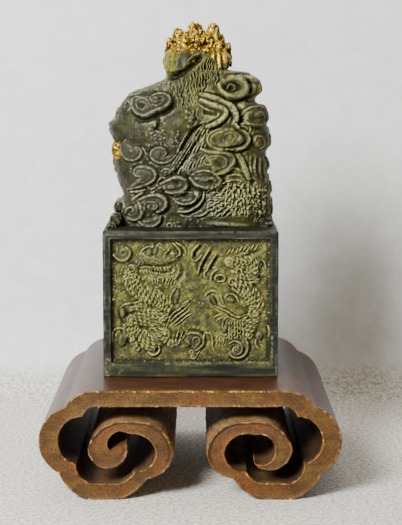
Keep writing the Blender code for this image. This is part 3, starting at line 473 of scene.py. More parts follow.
    # Its head and the hair under its jaw
    p.mound(10.4, 24.0, 6.4, 4.4, 0.7)
    p.ridge(0.5, 0.9, [(4.4, 25.4), (5.6, 26.8), (7.2, 27.3), (8.6, 26.4)])
    p.ridge(0.5, 1.0, [(6.4, 25.4), (7.3, 24.1), (8.2, 22.6)])
    p.ridge(0.4, 0.8, [(9.4, 26.4), (9.8, 24.6), (10.6, 22.8)])
    p.boss(12.6, 24.4, 1.5, 0.85, 0.8, -20)
    p.ridge(0.35, 0.9, [(10.7, 24.8), (11.5, 26.1), (13.1, 26.3), (14.4, 25.3), (15.1, 23.8),
                        (15.8, 22.8)])
    p.mound(16.8, 23.2, 1.8, 1.6, 0.6)
    p.ridge(0.38, 0.9, [(7.6, 22.5), (9.6, 21.5), (11.6, 20.6), (13.4, 19.3), (15.2, 18.8),
                        (17.2, 19.5)], moat=0.7)
    p.boss(5.9, 24.3, 0.45, 0.45, 0.6)
    p.ridge(0.28, 0.6, [(7.2, 18.6), (8.6, 19.4), (10.2, 19.9)])
    p.ridge(0.28, 0.6, [(8.0, 17.2), (8.8, 18.2), (10.4, 18.7)])
    p.ridge(0.33, 0.8, [(10.0, 15.2), (10.2, 17.0), (11.0, 18.5), (12.4, 18.9)])
    p.ridge(0.3, 0.7, [(9.8, 13.4), (10.8, 12.9), (11.9, 13.7)])
    p.hair([(12.2, 17.6), (16.4, 17.8)], [(12.0, 11.6), (16.6, 11.8)], 6, 0.3, 0.9, 0.22, 1.7)
    p.hair([(8.2, 13.0), (11.6, 12.6)], [(8.4, 9.6), (10.6, 8.8)], 4, 0.28, 0.7, 0.15, 1.7)
    # The pearl, the spiral and the clouds on the right
    p.boss(-0.9, 10.4, 0.9, 1.4, 0.8)
    p.curl(0.45, 0.8, [(-2.4, 12.0), (-1.1, 13.4), (0.8, 13.9), (2.9, 13.4), (4.1, 12.0),
                        (4.0, 10.2), (2.8, 8.8), (1.5, 8.1)])
    p.ridge(0.34, 0.8, [(0.7, 10.4), (0.9, 12.0), (2.0, 12.5), (2.9, 11.7), (2.7, 10.5), (1.7, 9.9)])
    p.ring(0.3, 7.6, 0.6, 0.6, 0.25, 0.6)
    p.ring(0.6, 6.1, 0.5, 0.5, 0.25, 0.6)
    p.ridge(0.3, 0.7, [(3.3, 8.8), (2.3, 7.2), (1.5, 5.8), (0.4, 5.0)])
    p.ridge(0.33, 0.8, [(4.2, 11.2), (4.3, 13.0), (5.0, 13.9), (5.8, 13.2)])
    p.ridge(0.4, 0.9, [(5.8, 13.9), (6.7, 12.8), (6.9, 11.0), (6.9, 9.4), (7.7, 8.1)])
    p.curl(0.5, 0.9, [(17.3, 12.0), (18.1, 10.2), (18.0, 8.4), (17.0, 6.6), (15.2, 5.8),
                        (13.4, 6.0), (12.1, 7.2)])
    p.ridge(0.42, 1.0, [(12.2, 10.4), (13.8, 11.1), (15.6, 10.5), (16.3, 9.0), (15.9, 7.6),
                        (14.7, 6.9), (13.6, 7.5), (13.4, 8.7), (14.4, 9.4)])
    p.boss(21.6, 12.8, 1.2, 1.6, 0.9)
    p.ridge(0.35, 0.9, [(20.6, 11.7), (20.5, 10.2), (21.2, 9.0), (22.2, 8.4)])
    p.ridge(0.32, 0.8, [(21.8, 11.3), (22.1, 10.2), (23.0, 9.3)])
    p.ridge(0.4, 0.6, [(24.3, 16.2), (24.8, 14.2), (24.4, 12.2)])
    if full:
        for patch in ((-24.5, 24, -20, 36, 160, 0.36, 0.16), (-17, 28, -3, 42, 150, 0.38, 0.35),
                      (-24.5, 4.5, 24.5, 43.5, 700, 0.34, 0.15), (-24.5, 4.5, 24, 8, 200, 0.36, 0.13),
                      (-3, 14, 7, 30, 160, 0.36, 0.12), (-24.5, 41, 24, 44, 160, 0.36, 0.12),
                      (22.5, 16, 24.8, 42, 120, 0.36, 0.14)):
            p.crumbs(*patch)
        for rise, reach in ((0.035, 0.16), (0.06, 0.45)):
            p.skin(-25.6, 3.4, 25.6, 44.6, rise, reach, reach)
    return p.finish(-0.55, 1.65)


# %% [markdown]
# ## The block
#
# A row of the block's grid runs round its four sides, with most of its points on the front panel.
# The frames keep the plain face, the panels lie behind them by the recess less the carving, and
# the rows go on over the rounded top edge to the middle of the top face.


# %% Build the block round its four panels
FRAME_SIDE, FRAME_TOP, FRAME_BOTTOM, FRAME_SLOPE = 2.4, 2.4, 4.0, 0.5
PANEL_RECESS = 1.5
EDGE_ROUND = 0.55
CELLS_UP, FRONT_CELLS, OTHER_CELLS = 176, 226, 54
# Scratches on the front frame: start, end, half width and strength
SCRATCHES = [((-26.9, 6.4), (-24.2, 3.7), 0.25, 0.7), ((-27.2, 2.8), (-26.0, 0.3), 0.25, 0.7),
             ((-26.6, 4.6), (-25.4, 2.2), 0.2, 0.5), ((-22.4, 1.5), (-21.2, 2.6), 0.25, 0.7),
             ((-8.0, 4.1), (24.7, 4.3), 0.16, 0.55), ((25.6, 13.0), (25.7, 4.2), 0.2, 0.6),
             ((-26.8, 45.3), (-12.0, 45.6), 0.22, 0.55), ((-26.9, 30.0), (-26.8, 44.8), 0.2, 0.4)]


def framed_stops(length, first, last, cells):
    """Places across a framed side: close together at its edges and slopes, even between them."""
    edge = EDGE_ROUND * np.array((0, 0.35, 0.7, 1.0))
    return np.concatenate((edge, np.linspace(EDGE_ROUND, first - 0.1, 5)[1:],
                           np.linspace(first, length - last, cells),
                           np.linspace(length - last + 0.1, length - EDGE_ROUND, 5)[:-1],
                           length - edge[::-1]))


def round_corner(x, face):
    """Turn places near a side's ends onto an arc: within r of the corner, up to 45 degrees."""
    into = np.clip(1 - (BLOCK / 2 - np.abs(x)) / EDGE_ROUND, 0, 1)
    angle = into * math.pi / 4
    arc_x = np.sign(x) * (BLOCK / 2 - EDGE_ROUND + EDGE_ROUND * np.sin(angle))
    arc_face = face + EDGE_ROUND * (1 - np.cos(angle))
    return np.where(into > 0, arc_x, x), np.where(into > 0, arc_face, face)


def block_side(turn, cells, relief):
    """One side as rows of points and values, turned a number of quarter turns."""
    across = framed_stops(BLOCK, FRAME_SIDE, FRAME_SIDE, cells)[:-1] - BLOCK / 2
    up = framed_stops(BLOCK_HEIGHT, FRAME_BOTTOM, FRAME_TOP, CELLS_UP)
    x, z = np.meshgrid(across, up)
    slope_x = (BLOCK / 2 - FRAME_SIDE - np.abs(x)) / FRAME_SLOPE
    slope_z = np.minimum(z - FRAME_BOTTOM, BLOCK_HEIGHT - FRAME_TOP - z) / FRAME_SLOPE
    inside = np.clip(np.minimum(slope_x, slope_z), 0, 1)
    inside = inside * inside * (3 - 2 * inside)
    behind = inside * np.maximum(PANEL_RECESS - relief.read("height", x, z), -0.2)
    spot = np.stack((x, np.full(x.shape, 7.0 * turn), z), axis=-1)
    behind = behind - (0.06 * waves(spot, 9, 3) + 0.03 * waves(spot, 2.5, 4)) * (1 - inside)
    # A band just inside the frame is darkened through the cavity value: a painted shadow of the frame on
    # the panel.
    painted_frame_shade = np.exp(-((np.minimum(slope_x, slope_z) * FRAME_SLOPE - 0.9) / 0.8) ** 2) * inside
    if turn == 0:
        filled = np.clip(1 - ((x + 26.4) * 0.62 + (z - 0.4) * 0.78) / 4.4, 0, 1)
        behind = np.where(inside > 0, behind * (1 - filled ** 0.4), behind)
        behind = behind + 0.35 * filled * (0.6 + 0.4 * waves(spot, 1.6, 8))
    streaks = np.clip(0.7 + 1.1 * waves(spot * (0.12, 1, 1), 2.6, 33), 0, 1)
    rail = step_between(4.2 - z, 0, 0.6) * streaks
    # Light lines along the frame's outer and inner edges, added to the worn value: partly rubbed edges,
    # partly painted edge highlights.
    outer = np.exp(-((np.minimum(BLOCK / 2 - np.abs(x), BLOCK_HEIGHT - z) - 0.45) / 0.22) ** 2)
    inner = np.exp(-((np.minimum(slope_x, slope_z) * FRAME_SLOPE + 0.2) / 0.2) ** 2)
    lines = (0.34 * outer + 0.3 * inner) * np.clip(0.35 + waves(spot, 8, 21), 0, 1) * (1 - inside)
    amber = np.exp(-((x - 24.2) / 0.9) ** 2 - ((z - 15.2) / 1.5) ** 2) if turn == 0 else 0 * x
    values = {"cavity": np.clip(relief.read("cavity", x, z) * inside + 0.75 * painted_frame_shade, 0, 1),
              "worn": relief.read("worn", x, z) * inside + lines,
              "busy": relief.read("busy", x, z) * inside,
              "slate": relief.read("slate", x, z) * inside,
              "gilt": 0.62 * amber, "plain": (1 - inside) * (1 - rail),
              "ochre": 0.55 + 0.45 * np.maximum(inside, rail)}
    if turn == 0:
        for start, end, reach, strength in SCRATCHES:
            way = np.subtract(end, start)
            share = np.clip(((x - start[0]) * way[0] + (z - start[1]) * way[1]) / (way @ way), 0, 1)
            gap = np.hypot(x - start[0] - share * way[0], z - start[1] - share * way[1])
            rubbed = strength * np.clip(0.8 + 0.7 * waves(spot, 2.4, 10), 0, 1)
            values["worn"] = np.maximum(values["worn"], rubbed * np.exp(-(gap / reach) ** 2))
    x, behind = round_corner(x, behind)
    y = behind - BLOCK / 2
    c, s = round(math.cos(turn * math.pi / 2)), round(math.sin(turn * math.pi / 2))
    return np.stack((x * c - y * s, x * s + y * c, z), axis=-1), values


front_relief, plain_relief = panel_relief(True), panel_relief(False)
sides = [block_side(0, FRONT_CELLS, front_relief)]
sides += [block_side(turn, OTHER_CELLS, plain_relief) for turn in (1, 2, 3)]
wall = np.concatenate([points for points, _ in sides], axis=1)
values = {key: np.concatenate([side[key] for _, side in sides], axis=1) for key in sides[0][1]}

lid = []
for angle in np.linspace(0, math.pi / 2, 5)[1:]:
    inset = EDGE_ROUND * (1 - math.cos(angle))
    ring = wall[-1] * (1, 1, 0) * (BLOCK / 2 - inset) / (BLOCK / 2)
    lid.append(ring + (0, 0, BLOCK_HEIGHT + EDGE_ROUND * (math.sin(angle) - 1)))
for share in (0.965, 0.955, 0.93, 0.87, 0.8, 0.72, 0.64, 0.5, 0.3, 0.08):
    ring = wall[-1] * (1, 1, 0) * share + (0, 0, BLOCK_HEIGHT)
    lid.append(ring + 0.12 * waves(ring, 5, 11)[:, None] * (0, 0, 1))
wall[-5:, :, 2] -= EDGE_ROUND * np.array((0.1, 0.3, 0.5, 0.8, 1.0))[:, None]
points = np.concatenate((wall, np.array(lid))) + (0, BLOCK_MIDDLE_Y, BLOCK_FLOOR)
for key, value in values.items():
    top = np.full((len(lid), value.shape[1]), 1.0 if key == "plain" else 0.0)
    if key == "worn":
        value[-4:] = 0.08
        top[:3] = 0.12
    if key == "cavity":
        top[4:] = 0.6
    values[key] = np.concatenate((value, top))
block = closed_band("seal_block", points, **values)
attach(block, "root")
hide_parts("dragon_seal")

# %% [markdown]
# ## The finial
#
# Seen from the front, the finial's outline runs up from the block to a domed brow on the left and
# a curl on the right, and a neck carries the crest. Its level sections are rounded oblongs. The
# front is drawn as it is seen from the viewer's eye, so every stroke keeps its place although the
# surface turns away at its sides.


# %% Draw the front of the finial
def finial_front():
    """The dragon's brow and cheek, the ribbons, curls, clouds, hair and scale-like locks."""
    f = Relief(-29, 29, -3, 66, 0.14, 8, 0.72)
    for mass in ((-13, 41, 10, 6, 0.9), (-3.4, 33, 5.2, 6.2, 1.2), (-19, 32, 5.6, 4.2, -0.5),
                 (-18.6, 24.4, 3.6, 3.4, 0.6), (-9.6, 23.2, 3.6, 3.2, 0.5), (-14.6, 16.4, 5.0, 3.8, 0.8),
                 (-12, 7, 6, 5, 0.7), (-4.6, 13.2, 4.4, 3.6, 0.8), (4.6, 15, 5.6, 4.2, 0.9),
                 (8, 21, 7, 5, 0.8), (11.6, 28, 7.6, 5, 0.9), (12, 7, 8.5, 6.5, 1.1),
                 (14.6, 44.6, 7.4, 4.6, 1.3), (19.8, 35, 4.6, 4.2, 0.8), (9, 37, 7, 6, 0.7)):
        f.mound(*mass)
    # The neck under the crest and the cut below it
    f.mound(-5.8, 51.6, 3.2, 4.8, 1.1)
    f.mound(-1.8, 52.8, 2.4, 3.0, 0.6)
    f.hair([(-8.2, 55.2), (-3.0, 55.6)], [(-7.0, 48.8), (-4.2, 49.8)], 6, 0.4, 0.35, 0.1)
    f.groove(1.0, 2.3, [(-7.8, 47.0), (-4.6, 48.0), (-1.9, 49.2), (0.5, 51.2), (2.5, 52.9),
                        (4.2, 55.2)])
    f.ridge(0.5, 0.9, [(-0.8, 52.4), (1.0, 53.9), (3.4, 55.2)])
    for top, foot in (((7.0, 56.2), (8.0, 48.0)), ((8.6, 57.2), (9.4, 48.6)),
                      ((10.4, 57), (10.9, 49))):
        f.ridge(0.9, 0.4, [top, ((top[0] + foot[0]) / 2 + 0.2, 52.6), foot], moat=0.6)
    # Hair: the mane from the cut downwards, and the brow's short hair
    f.hair([(-6.0, 46.4), (0.6, 49.8), (6.2, 54.0), (8.6, 50.6)],
           [(-5.2, 40.4), (0.0, 42.8), (4.6, 45.6), (8.0, 44.4)], 17, 0.36, 0.95, 0.28)
    f.hair([(-4.6, 43.2), (0.4, 45.6), (5.4, 48.4)], [(-3.6, 36.8), (0.6, 38.4), (3.6, 41.8)], 12,
           0.36, 0.95, 0.3)
    f.hair([(-17.6, 43.4), (-11.6, 45.2), (-6.6, 46.6)], [(-16.4, 41.8), (-11.0, 42.8), (-6.6, 42.9)],
           13, 0.3, 0.5, 0.1)
    # The brow
    f.groove(0.7, 1.1, [(-18.6, 35.8), (-16.8, 34.2), (-13.6, 33.9), (-10.0, 35.4), (-6.8, 36.9),
                        (-5.0, 39.2), (-5.2, 41.6)])
    f.mound(-13.6, 38.4, 7.4, 4.0, 0.8)
    f.plate([(-17.8, 38.6), (-17.0, 40.4), (-14.6, 40.7), (-12.0, 40.9), (-10.3, 41.7), (-8.4, 42.0),
             (-6.6, 41.2), (-6.2, 39.8), (-7.6, 38.1), (-10.0, 36.9), (-12.1, 36.0), (-14.4, 35.1),
             (-16.7, 35.9), (-17.8, 37.4)], 0.9)
    f.ridge(0.75, 0.9, [(-14.6, 40.6), (-16.9, 40.4), (-17.9, 39.0), (-17.8, 37.4), (-16.7, 35.9),
                        (-14.4, 35.1), (-12.1, 36.0), (-10.0, 36.9), (-7.6, 38.1), (-6.2, 39.8),
                        (-6.7, 41.3), (-8.6, 42.0), (-10.5, 41.7), (-12.2, 40.7)])
    f.ridge(0.42, 0.8, [(-12.2, 40.7), (-12.0, 39.6), (-10.6, 39.2), (-9.4, 39.6)])
    f.mound(-14.9, 38.1, 1.4, 1.1, -0.8)
    f.mound(-9.2, 40.4, 1.0, 0.6, -0.6)
    f.ridge(0.4, 0.8, [(-12.4, 38.0), (-13.0, 39.6), (-14.8, 40.1), (-16.2, 39.0), (-15.9, 37.3),
                       (-14.4, 36.8), (-13.8, 37.8)])
    f.ridge(0.34, 0.6, [(-11.6, 38.4), (-10.2, 38.1), (-8.8, 38.9)])
    f.ridge(0.4, 0.5, [(-20.7, 38.0), (-19.8, 39.6), (-18.8, 39.2), (-18.8, 37.6), (-19.9, 36.8)])
    f.ridge(0.35, 0.4, [(-21.4, 39.2), (-19.8, 40.8), (-18.0, 41.5), (-15.6, 41.9)])
    # The cheek, the speckled jaw and the cut behind it
    f.groove(0.8, 1.4, [(-10.4, 35.0), (-10.2, 32.6), (-11.0, 30.4)])
    f.crumbs(-14.2, 25.6, -8.0, 33.8, 190, 0.34, 0.16)
    f.crumbs(-9.4, 25.6, -3.8, 30.6, 120, 0.34, 0.14)
    f.mound(-4.2, 33.0, 4.8, 2.2, 0.3, 38)
    f.boss(0.6, 34.4, 1.3, 1.6, 0.7, -30)
    f.boss(2.0, 33.4, 0.9, 1.0, 0.6, 20)
    f.plate([(-1.6, 36.0), (1.0, 37.6), (2.4, 34.4), (0.4, 31.8), (-2.6, 32.6)], 0.15, 0.5)
    f.mound(-5.8, 26.2, 1.8, 2.6, 0.4)
    f.crumbs(-1.6, 31.6, 1.8, 36.8, 30, 0.55, 0.7)
    f.hair([(-23.6, 36.0), (-12.4, 33.4)], [(-21.8, 29.4), (-14.8, 29.0)], 12, 0.42, 0.09, 0.1)
    f.groove(0.65, 2.0, [(4.4, 33.0), (1.4, 31.4), (-0.6, 28.6), (-2.4, 25.8), (-3.8, 23.4)])
    f.groove(0.5, 1.5, [(3.4, 28.6), (1.4, 26.4), (-1.2, 22.4), (-3.2, 19.4), (-6.9, 15.8)])
    f.ridge(0.35, 0.7, [(-0.2, 31.0), (-1.8, 28.6), (-3.4, 25.6), (-4.4, 23.2)])
    f.ridge(0.35, 0.7, [(2.3, 37.6), (1.9, 35.6), (2.6, 33.9)])
    f.ridge(0.35, 0.7, [(0.6, 32.0), (2.6, 32.8), (4.6, 33.5)])
    for number in range(12):
        x, z = 3.0 - 0.72 * number, 31.0 - 1.12 * number
        for aside in (-0.45, 0.55):
            line = [(x + aside - 0.7, z - 1.0), (x + aside, z + 0.2), (x + aside + 0.7, z + 1.0)]
            f.ridge(0.34, 0.8, line, moat=0.6)
    for x, z in ((-1.2, 21.8), (0.4, 23.0), (1.6, 23.4), (3.0, 24.4), (-2.6, 18.4), (-1.0, 18.0),
                 (0.4, 18.4), (1.6, 19.0), (3.0, 20.0), (1.6, 27.0), (3.2, 28.2), (5.0, 29.4),
                 (0.2, 26.0), (-5.6, 17.0), (-4.0, 16.6)):
        f.ridge(0.36, 1.1, [(x, z), (x + 0.5, z + 1.5), (x + 1.5, z + 3.0)], moat=0.55)
    # The curl at the upper right
    f.plate([(8.8, 45.4), (11.0, 46.9), (17.0, 46.9), (20.4, 44.6), (19.6, 42.2), (16.0, 41.0),
             (12.4, 41.2), (9.6, 43.4)], 0.5)
    f.ridge(1.35, 1.0, [(8.8, 45.0), (9.9, 42.7), (12.6, 41.2), (15.4, 41.5), (17.0, 43.2),
                        (16.7, 45.3), (14.8, 46.7), (12.0, 47.1)], moat=0.4, tip=0.7)
    f.mound(13.0, 44.2, 3.5, 2.2, -2.6)
    f.ridge(0.5, 1.0, [(11.6, 43.8), (12.2, 45.0), (13.6, 44.9), (14.0, 43.8), (13.0, 43.2)])
    f.ridge(1.25, 1.0, [(14.6, 47.5), (17.8, 47.1), (20.4, 46.0), (21.4, 43.8), (20.4, 41.8),
                        (18.4, 40.3)], moat=0.3)
    f.groove(0.55, 1.5, [(17.2, 46.1), (18.7, 45.4), (19.0, 43.8), (18.1, 42.2)])
    f.groove(0.5, 1.0, [(9.4, 41.4), (12.4, 39.9), (15.6, 40.0), (17.6, 41.4)])
    # The two ribbons
    f.groove(0.8, 1.6, [(3.6, 36.8), (6.4, 36.2), (9.0, 35.8)])
    f.groove(0.8, 1.7, [(14.0, 39.6), (15.8, 37.6), (16.4, 35.0), (15.6, 32.8)])
    f.plate([(13.5, 31.6), (17.1, 30.0), (18.2, 28.0), (17.7, 26.3), (16.0, 25.1), (13.6, 24.7),
             (8.4, 24.9), (6.2, 25.9), (5.2, 27.6), (5.8, 29.4), (7.8, 30.7), (10.2, 31.5)], 1.0)
    f.ribbon(0.92, 1.5, [(3.2, 42.0), (6.0, 41.2), (9.0, 40.2), (12.0, 38.4), (13.9, 36.4),
                         (14.4, 34.4), (13.8, 32.8), (14.6, 31.6)], moat=0.4)
    f.ridge(0.85, 1.4, [(13.8, 32.8), (14.9, 31.4), (17.0, 30.1), (18.2, 28.1), (17.7, 26.3),
                        (16.0, 25.1), (13.6, 24.7), (11.2, 24.8)], moat=0.5)
    f.ribbon(0.84, 1.6, [(3.2, 40.2), (6.0, 38.8), (9.0, 37.9), (10.9, 36.8), (10.9, 35.4),
                         (9.4, 33.8), (7.2, 32.5), (5.2, 31.9)], moat=0.45)
    # The curls on the right
    f.mound(19.6, 34.6, 2.9, 1.9, -1.14)
    f.curl(0.62, 1.1, [(16.0, 35.4), (17.4, 37.2), (20.4, 37.9), (22.9, 37.2), (23.9, 35.2),
                       (22.8, 32.9), (20.6, 32.2), (18.6, 32.6), (16.8, 33.6)])
    f.boss(20.8, 35.5, 1.3, 0.9, 0.9)
    f.ridge(0.42, 0.9, [(15.4, 32.7), (17.0, 32.9), (18.5, 32.2), (18.9, 30.6), (18.2, 29.2)])
    f.ridge(0.52, 1.0, [(13.8, 24.7), (11.0, 24.7), (8.4, 24.9), (6.2, 25.9), (5.2, 27.6),
                        (5.8, 29.4), (7.8, 30.7), (10.2, 31.5)], moat=0.6)
    f.groove(0.42, 0.9, [(13.4, 31.1), (15.4, 30.0), (16.8, 28.6), (16.8, 27.1), (15.2, 25.9),
                         (12.6, 25.6)])
    f.mound(9.4, 27.9, 4.0, 2.4, -1.1)
    f.ridge(0.32, 0.8, [(10.3, 27.0), (10.5, 28.9), (12.0, 29.9), (13.7, 29.5), (13.9, 28.2),
                        (12.8, 27.3)])
    f.boss(12.2, 28.5, 0.9, 0.75, 0.5)
    f.mound(15.1, 27.9, 1.1, 1.3, 0.7)
    f.curl(0.5, 0.9, [(19.7, 26.8), (20.5, 28.6), (22.2, 28.7), (23.1, 27.2), (22.8, 25.7),
                        (21.6, 25.1)])
    f.ribbon(0.9, 0.8, [(14.4, 24.0), (16.2, 21.0), (17.4, 18.0), (18.4, 15.6)])
    f.mound(19.8, 14.2, 1.1, 1.5, -1.14)
    for line in ([(19.1, 23.4), (18.9, 19.8), (19.5, 17.0)],
                 [(20.5, 22.4), (20.2, 18.6), (20.9, 16.2)],
                 [(22.0, 22.0), (21.8, 18.8), (22.4, 15.8)],
                 [(23.4, 20.6), (23.4, 17.2), (23.8, 13.8)]):
        f.ridge(0.5, 0.5, line, moat=0.5)
    for line in ([(11.2, 17.6), (13.8, 18.9), (16.2, 17.8)],
                 [(11.4, 16.2), (14.0, 16.8), (16.6, 16.2)],
                 [(11.2, 14.6), (14.0, 15.0), (17.0, 14.6)],
                 [(10.6, 13.0), (13.8, 13.4), (17.0, 12.8)]):
        f.ridge(0.5, 0.7, line, moat=0.5)
    f.curl(0.9, 1.3, [(3.4, 24.8), (6.0, 24.1), (9.0, 24.1), (11.9, 23.5), (13.7, 22.2),
                        (13.5, 20.3), (12.0, 18.5), (10.0, 17.1), (7.6, 16.8)])
    f.mound(9.2, 20.6, 2.6, 1.9, -1.2)
    f.ridge(0.42, 0.8, [(4.8, 21.8), (6.8, 22.7), (9.4, 22.5), (11.2, 21.4), (11.0, 19.7),
                        (9.2, 18.8)])
    f.ridge(0.36, 0.7, [(4.0, 20.2), (5.6, 19.8), (7.4, 20.4)])
    f.curl(0.9, 1.4, [(-0.2, 15.6), (1.2, 13.8), (3.6, 12.7), (6.4, 12.5), (8.8, 13.2), (9.6, 14.9),
                        (8.4, 16.3)])
    f.ridge(0.45, 0.8, [(0.4, 16.6), (2.4, 17.8), (5.0, 18.0), (7.6, 17.2)])
    f.boss(4.4, 15.5, 1.5, 1.0, 0.6)
    f.mound(6.5, 14.7, 1.1, 0.9, -0.72)
    f.mound(2.3, 15.0, 0.8, 1.0, -0.54)
    # The clouds along the foot
    f.mound(2.3, 10.8, 1.8, 2.2, 1.5)
    f.groove(0.45, 1.3, [(3.4, 10.4), (2.7, 8.4), (1.0, 7.0), (-1.2, 6.4), (-3.6, 6.6)])
    f.ridge(0.7, 1.7, [(4.3, 11.4), (3.9, 8.9), (2.5, 7.0), (0.4, 5.6), (-1.8, 4.9), (-4.2, 5.0)],
            tip=0.25)
    f.ridge(0.5, 1.0, [(-5.2, 8.4), (-3.2, 7.5), (-1.0, 7.4), (1.1, 8.2), (1.9, 9.8)])
    f.ridge(0.38, 0.8, [(-5.4, 9.8), (-3.4, 10.6), (-1.4, 11.3), (0.6, 10.8)])
    f.mound(-1.2, 9.6, 1.5, 1.1, -0.48)
    f.ridge(0.55, 1.1, [(5.6, 6.6), (5.0, 4.7), (3.2, 3.7), (1.2, 3.5)])
    f.ridge(0.35, 0.7, [(-3.2, 3.8), (-1.4, 3.3), (0.2, 3.5)])
    f.curl(0.8, 1.3, [(-9.6, 13.8), (-7.6, 14.9), (-5.4, 15.9), (-3.2, 15.9), (-1.6, 15.0),
                        (-1.0, 13.4), (-1.9, 11.8), (-3.8, 11.0), (-6.0, 10.8), (-8.0, 11.3)])
    f.mound(-4.4, 14.2, 1.4, 1.0, -0.72)
    f.boss(-6.2, 12.9, 1.4, 0.9, 0.8)
    f.curl(0.8, 1.3, [(-16.8, 8.2), (-14.4, 9.6), (-11.8, 10.4), (-9.4, 10.1), (-7.8, 8.7),
                        (-7.6, 6.8), (-8.8, 5.4), (-10.6, 4.8)])
    f.ridge(0.46, 0.9, [(-14.8, 5.2), (-14.3, 7.0), (-12.6, 8.0), (-11.0, 7.8), (-10.3, 6.6),
                        (-11.4, 5.6)])
    f.mound(-12.3, 6.5, 0.9, 0.9, -0.6)
    f.ridge(0.45, 0.9, [(-20.9, 4.4), (-20.2, 5.9), (-18.8, 6.3), (-17.8, 5.4), (-18.6, 4.5)])
    f.curl(0.6, 1.1, [(-20.1, 3.3), (-18.2, 2.2), (-16.4, 2.6), (-15.3, 4.0), (-15.4, 6.0),
                        (-16.6, 8.2)])
    f.curl(0.6, 1.1, [(-16.6, 1.8), (-15.0, 0.5), (-13.0, 0.0), (-11.0, 0.6), (-9.7, 1.9),
                        (-9.5, 3.6)])
    f.mound(-13.0, 2.5, 1.9, 1.4, -0.42)
    f.ring(-6.7, 0.5, 0.8, 0.8, 0.32, 1.0)
    f.boss(-3.8, 1.4, 0.75, 0.6, 0.9)
    f.boss(-3.6, 0.1, 0.75, 0.5, 0.8)
    # The three rings of cloud at the left
    f.curl(0.42, 0.9, [(-20.4, 27.8), (-21.5, 26.2), (-21.8, 24.2), (-20.9, 22.4), (-19.2, 21.3),
                      (-17.2, 21.4), (-15.8, 22.6), (-15.4, 24.2), (-16.2, 25.3), (-17.6, 25.2)])
    f.mound(-18.1, 24.2, 0.7, 0.7, 0.6)
    f.ridge(0.4, 0.9, [(-15.3, 25.4), (-14.5, 24.2), (-13.8, 23.0)])
    f.curl(0.42, 0.9, [(-4.6, 23.2), (-6.0, 21.4), (-8.4, 20.4), (-10.8, 20.8), (-12.5, 22.2),
                        (-12.4, 24.0), (-11.0, 25.1), (-9.2, 25.3), (-7.8, 24.5), (-7.7, 23.2),
                        (-8.7, 22.6)])
    f.curl(0.46, 1.0, [(-20.2, 12.1), (-17.0, 12.6), (-14.0, 13.5), (-11.7, 14.8), (-10.9, 16.4),
                       (-11.6, 18.2), (-13.4, 19.1), (-15.6, 19.4), (-17.2, 18.9), (-17.7, 17.6),
                       (-17.0, 16.5), (-15.3, 16.3)])
    f.ridge(0.6, 1.0, [(-19.2, 11.4), (-16.8, 11.3), (-14.4, 12.0)])
    f.ridge(0.7, 1.0, [(-18.4, 8.6), (-17.0, 9.9), (-15.2, 11.0)])
    for line in ([(-13.8, 13.0), (-12.6, 12.1), (-11.2, 12.7)],
                 [(-12.8, 10.9), (-11.0, 11.7), (-9.4, 12.9)],
                 [(-10.6, 14.4), (-9.2, 15.8), (-7.8, 15.4)],
                 [(-21.8, 8.6), (-21.0, 6.8), (-21.8, 5.0)],
                 [(-23.2, 4.6), (-22.0, 2.8), (-22.6, 1.0)],
                 [(-9.4, 17.6), (-8.0, 18.6), (-6.2, 18.2)]):
        f.ridge(0.38, 0.8, line)
    # Short locks on the haunch: nearly level at its left, turning upright towards its right
    for x, z in f.random.uniform((4.8, 2.6), (23.6, 13.6), (420, 2)):
        if z < 13.8 - 0.12 * abs(x - 12) and z > 3.6 - 0.05 * x:
            turn = math.radians(22 + 62 * np.clip((x - 6) / 12, 0, 1) + f.random.uniform(-18, 18))
            way = np.array((math.cos(turn), math.sin(turn)))
            bow = f.random.uniform(0.25, 0.6) * np.array((-math.sin(turn), math.cos(turn)))
            rise, length = f.random.uniform(0.4, 0.75), f.random.uniform(1.7, 2.5)
            f.ridge(0.4, rise, [(x, z), (x, z) + way * 1.1 + bow, (x, z) + way * length], moat=0.4)
    f.hair([(19.6, 12.8), (24.4, 12.0)], [(20.4, 2.0), (24.4, 1.6)], 6, 0.4, 0.8, 0.3, 3.0)
    f.mound(12.0, 0.9, 8.5, 1.3, 0.9, -3)
    f.crumbs(-24, -1, 4, 12, 120, 0.45, 0.16)
    f.crumbs(10, 12, 25, 42, 120, 0.45, 0.18)
    f.crumbs(-20, 12, -4, 22, 90, 0.4, 0.12)
    f.skin(-29, -3, 29, 66, 0.03, 0.17, 0.17)
    f.skin(-29, -3, 29, 66, 0.05, 0.5, 0.3)
    return f.finish(-2.2, 3.2)


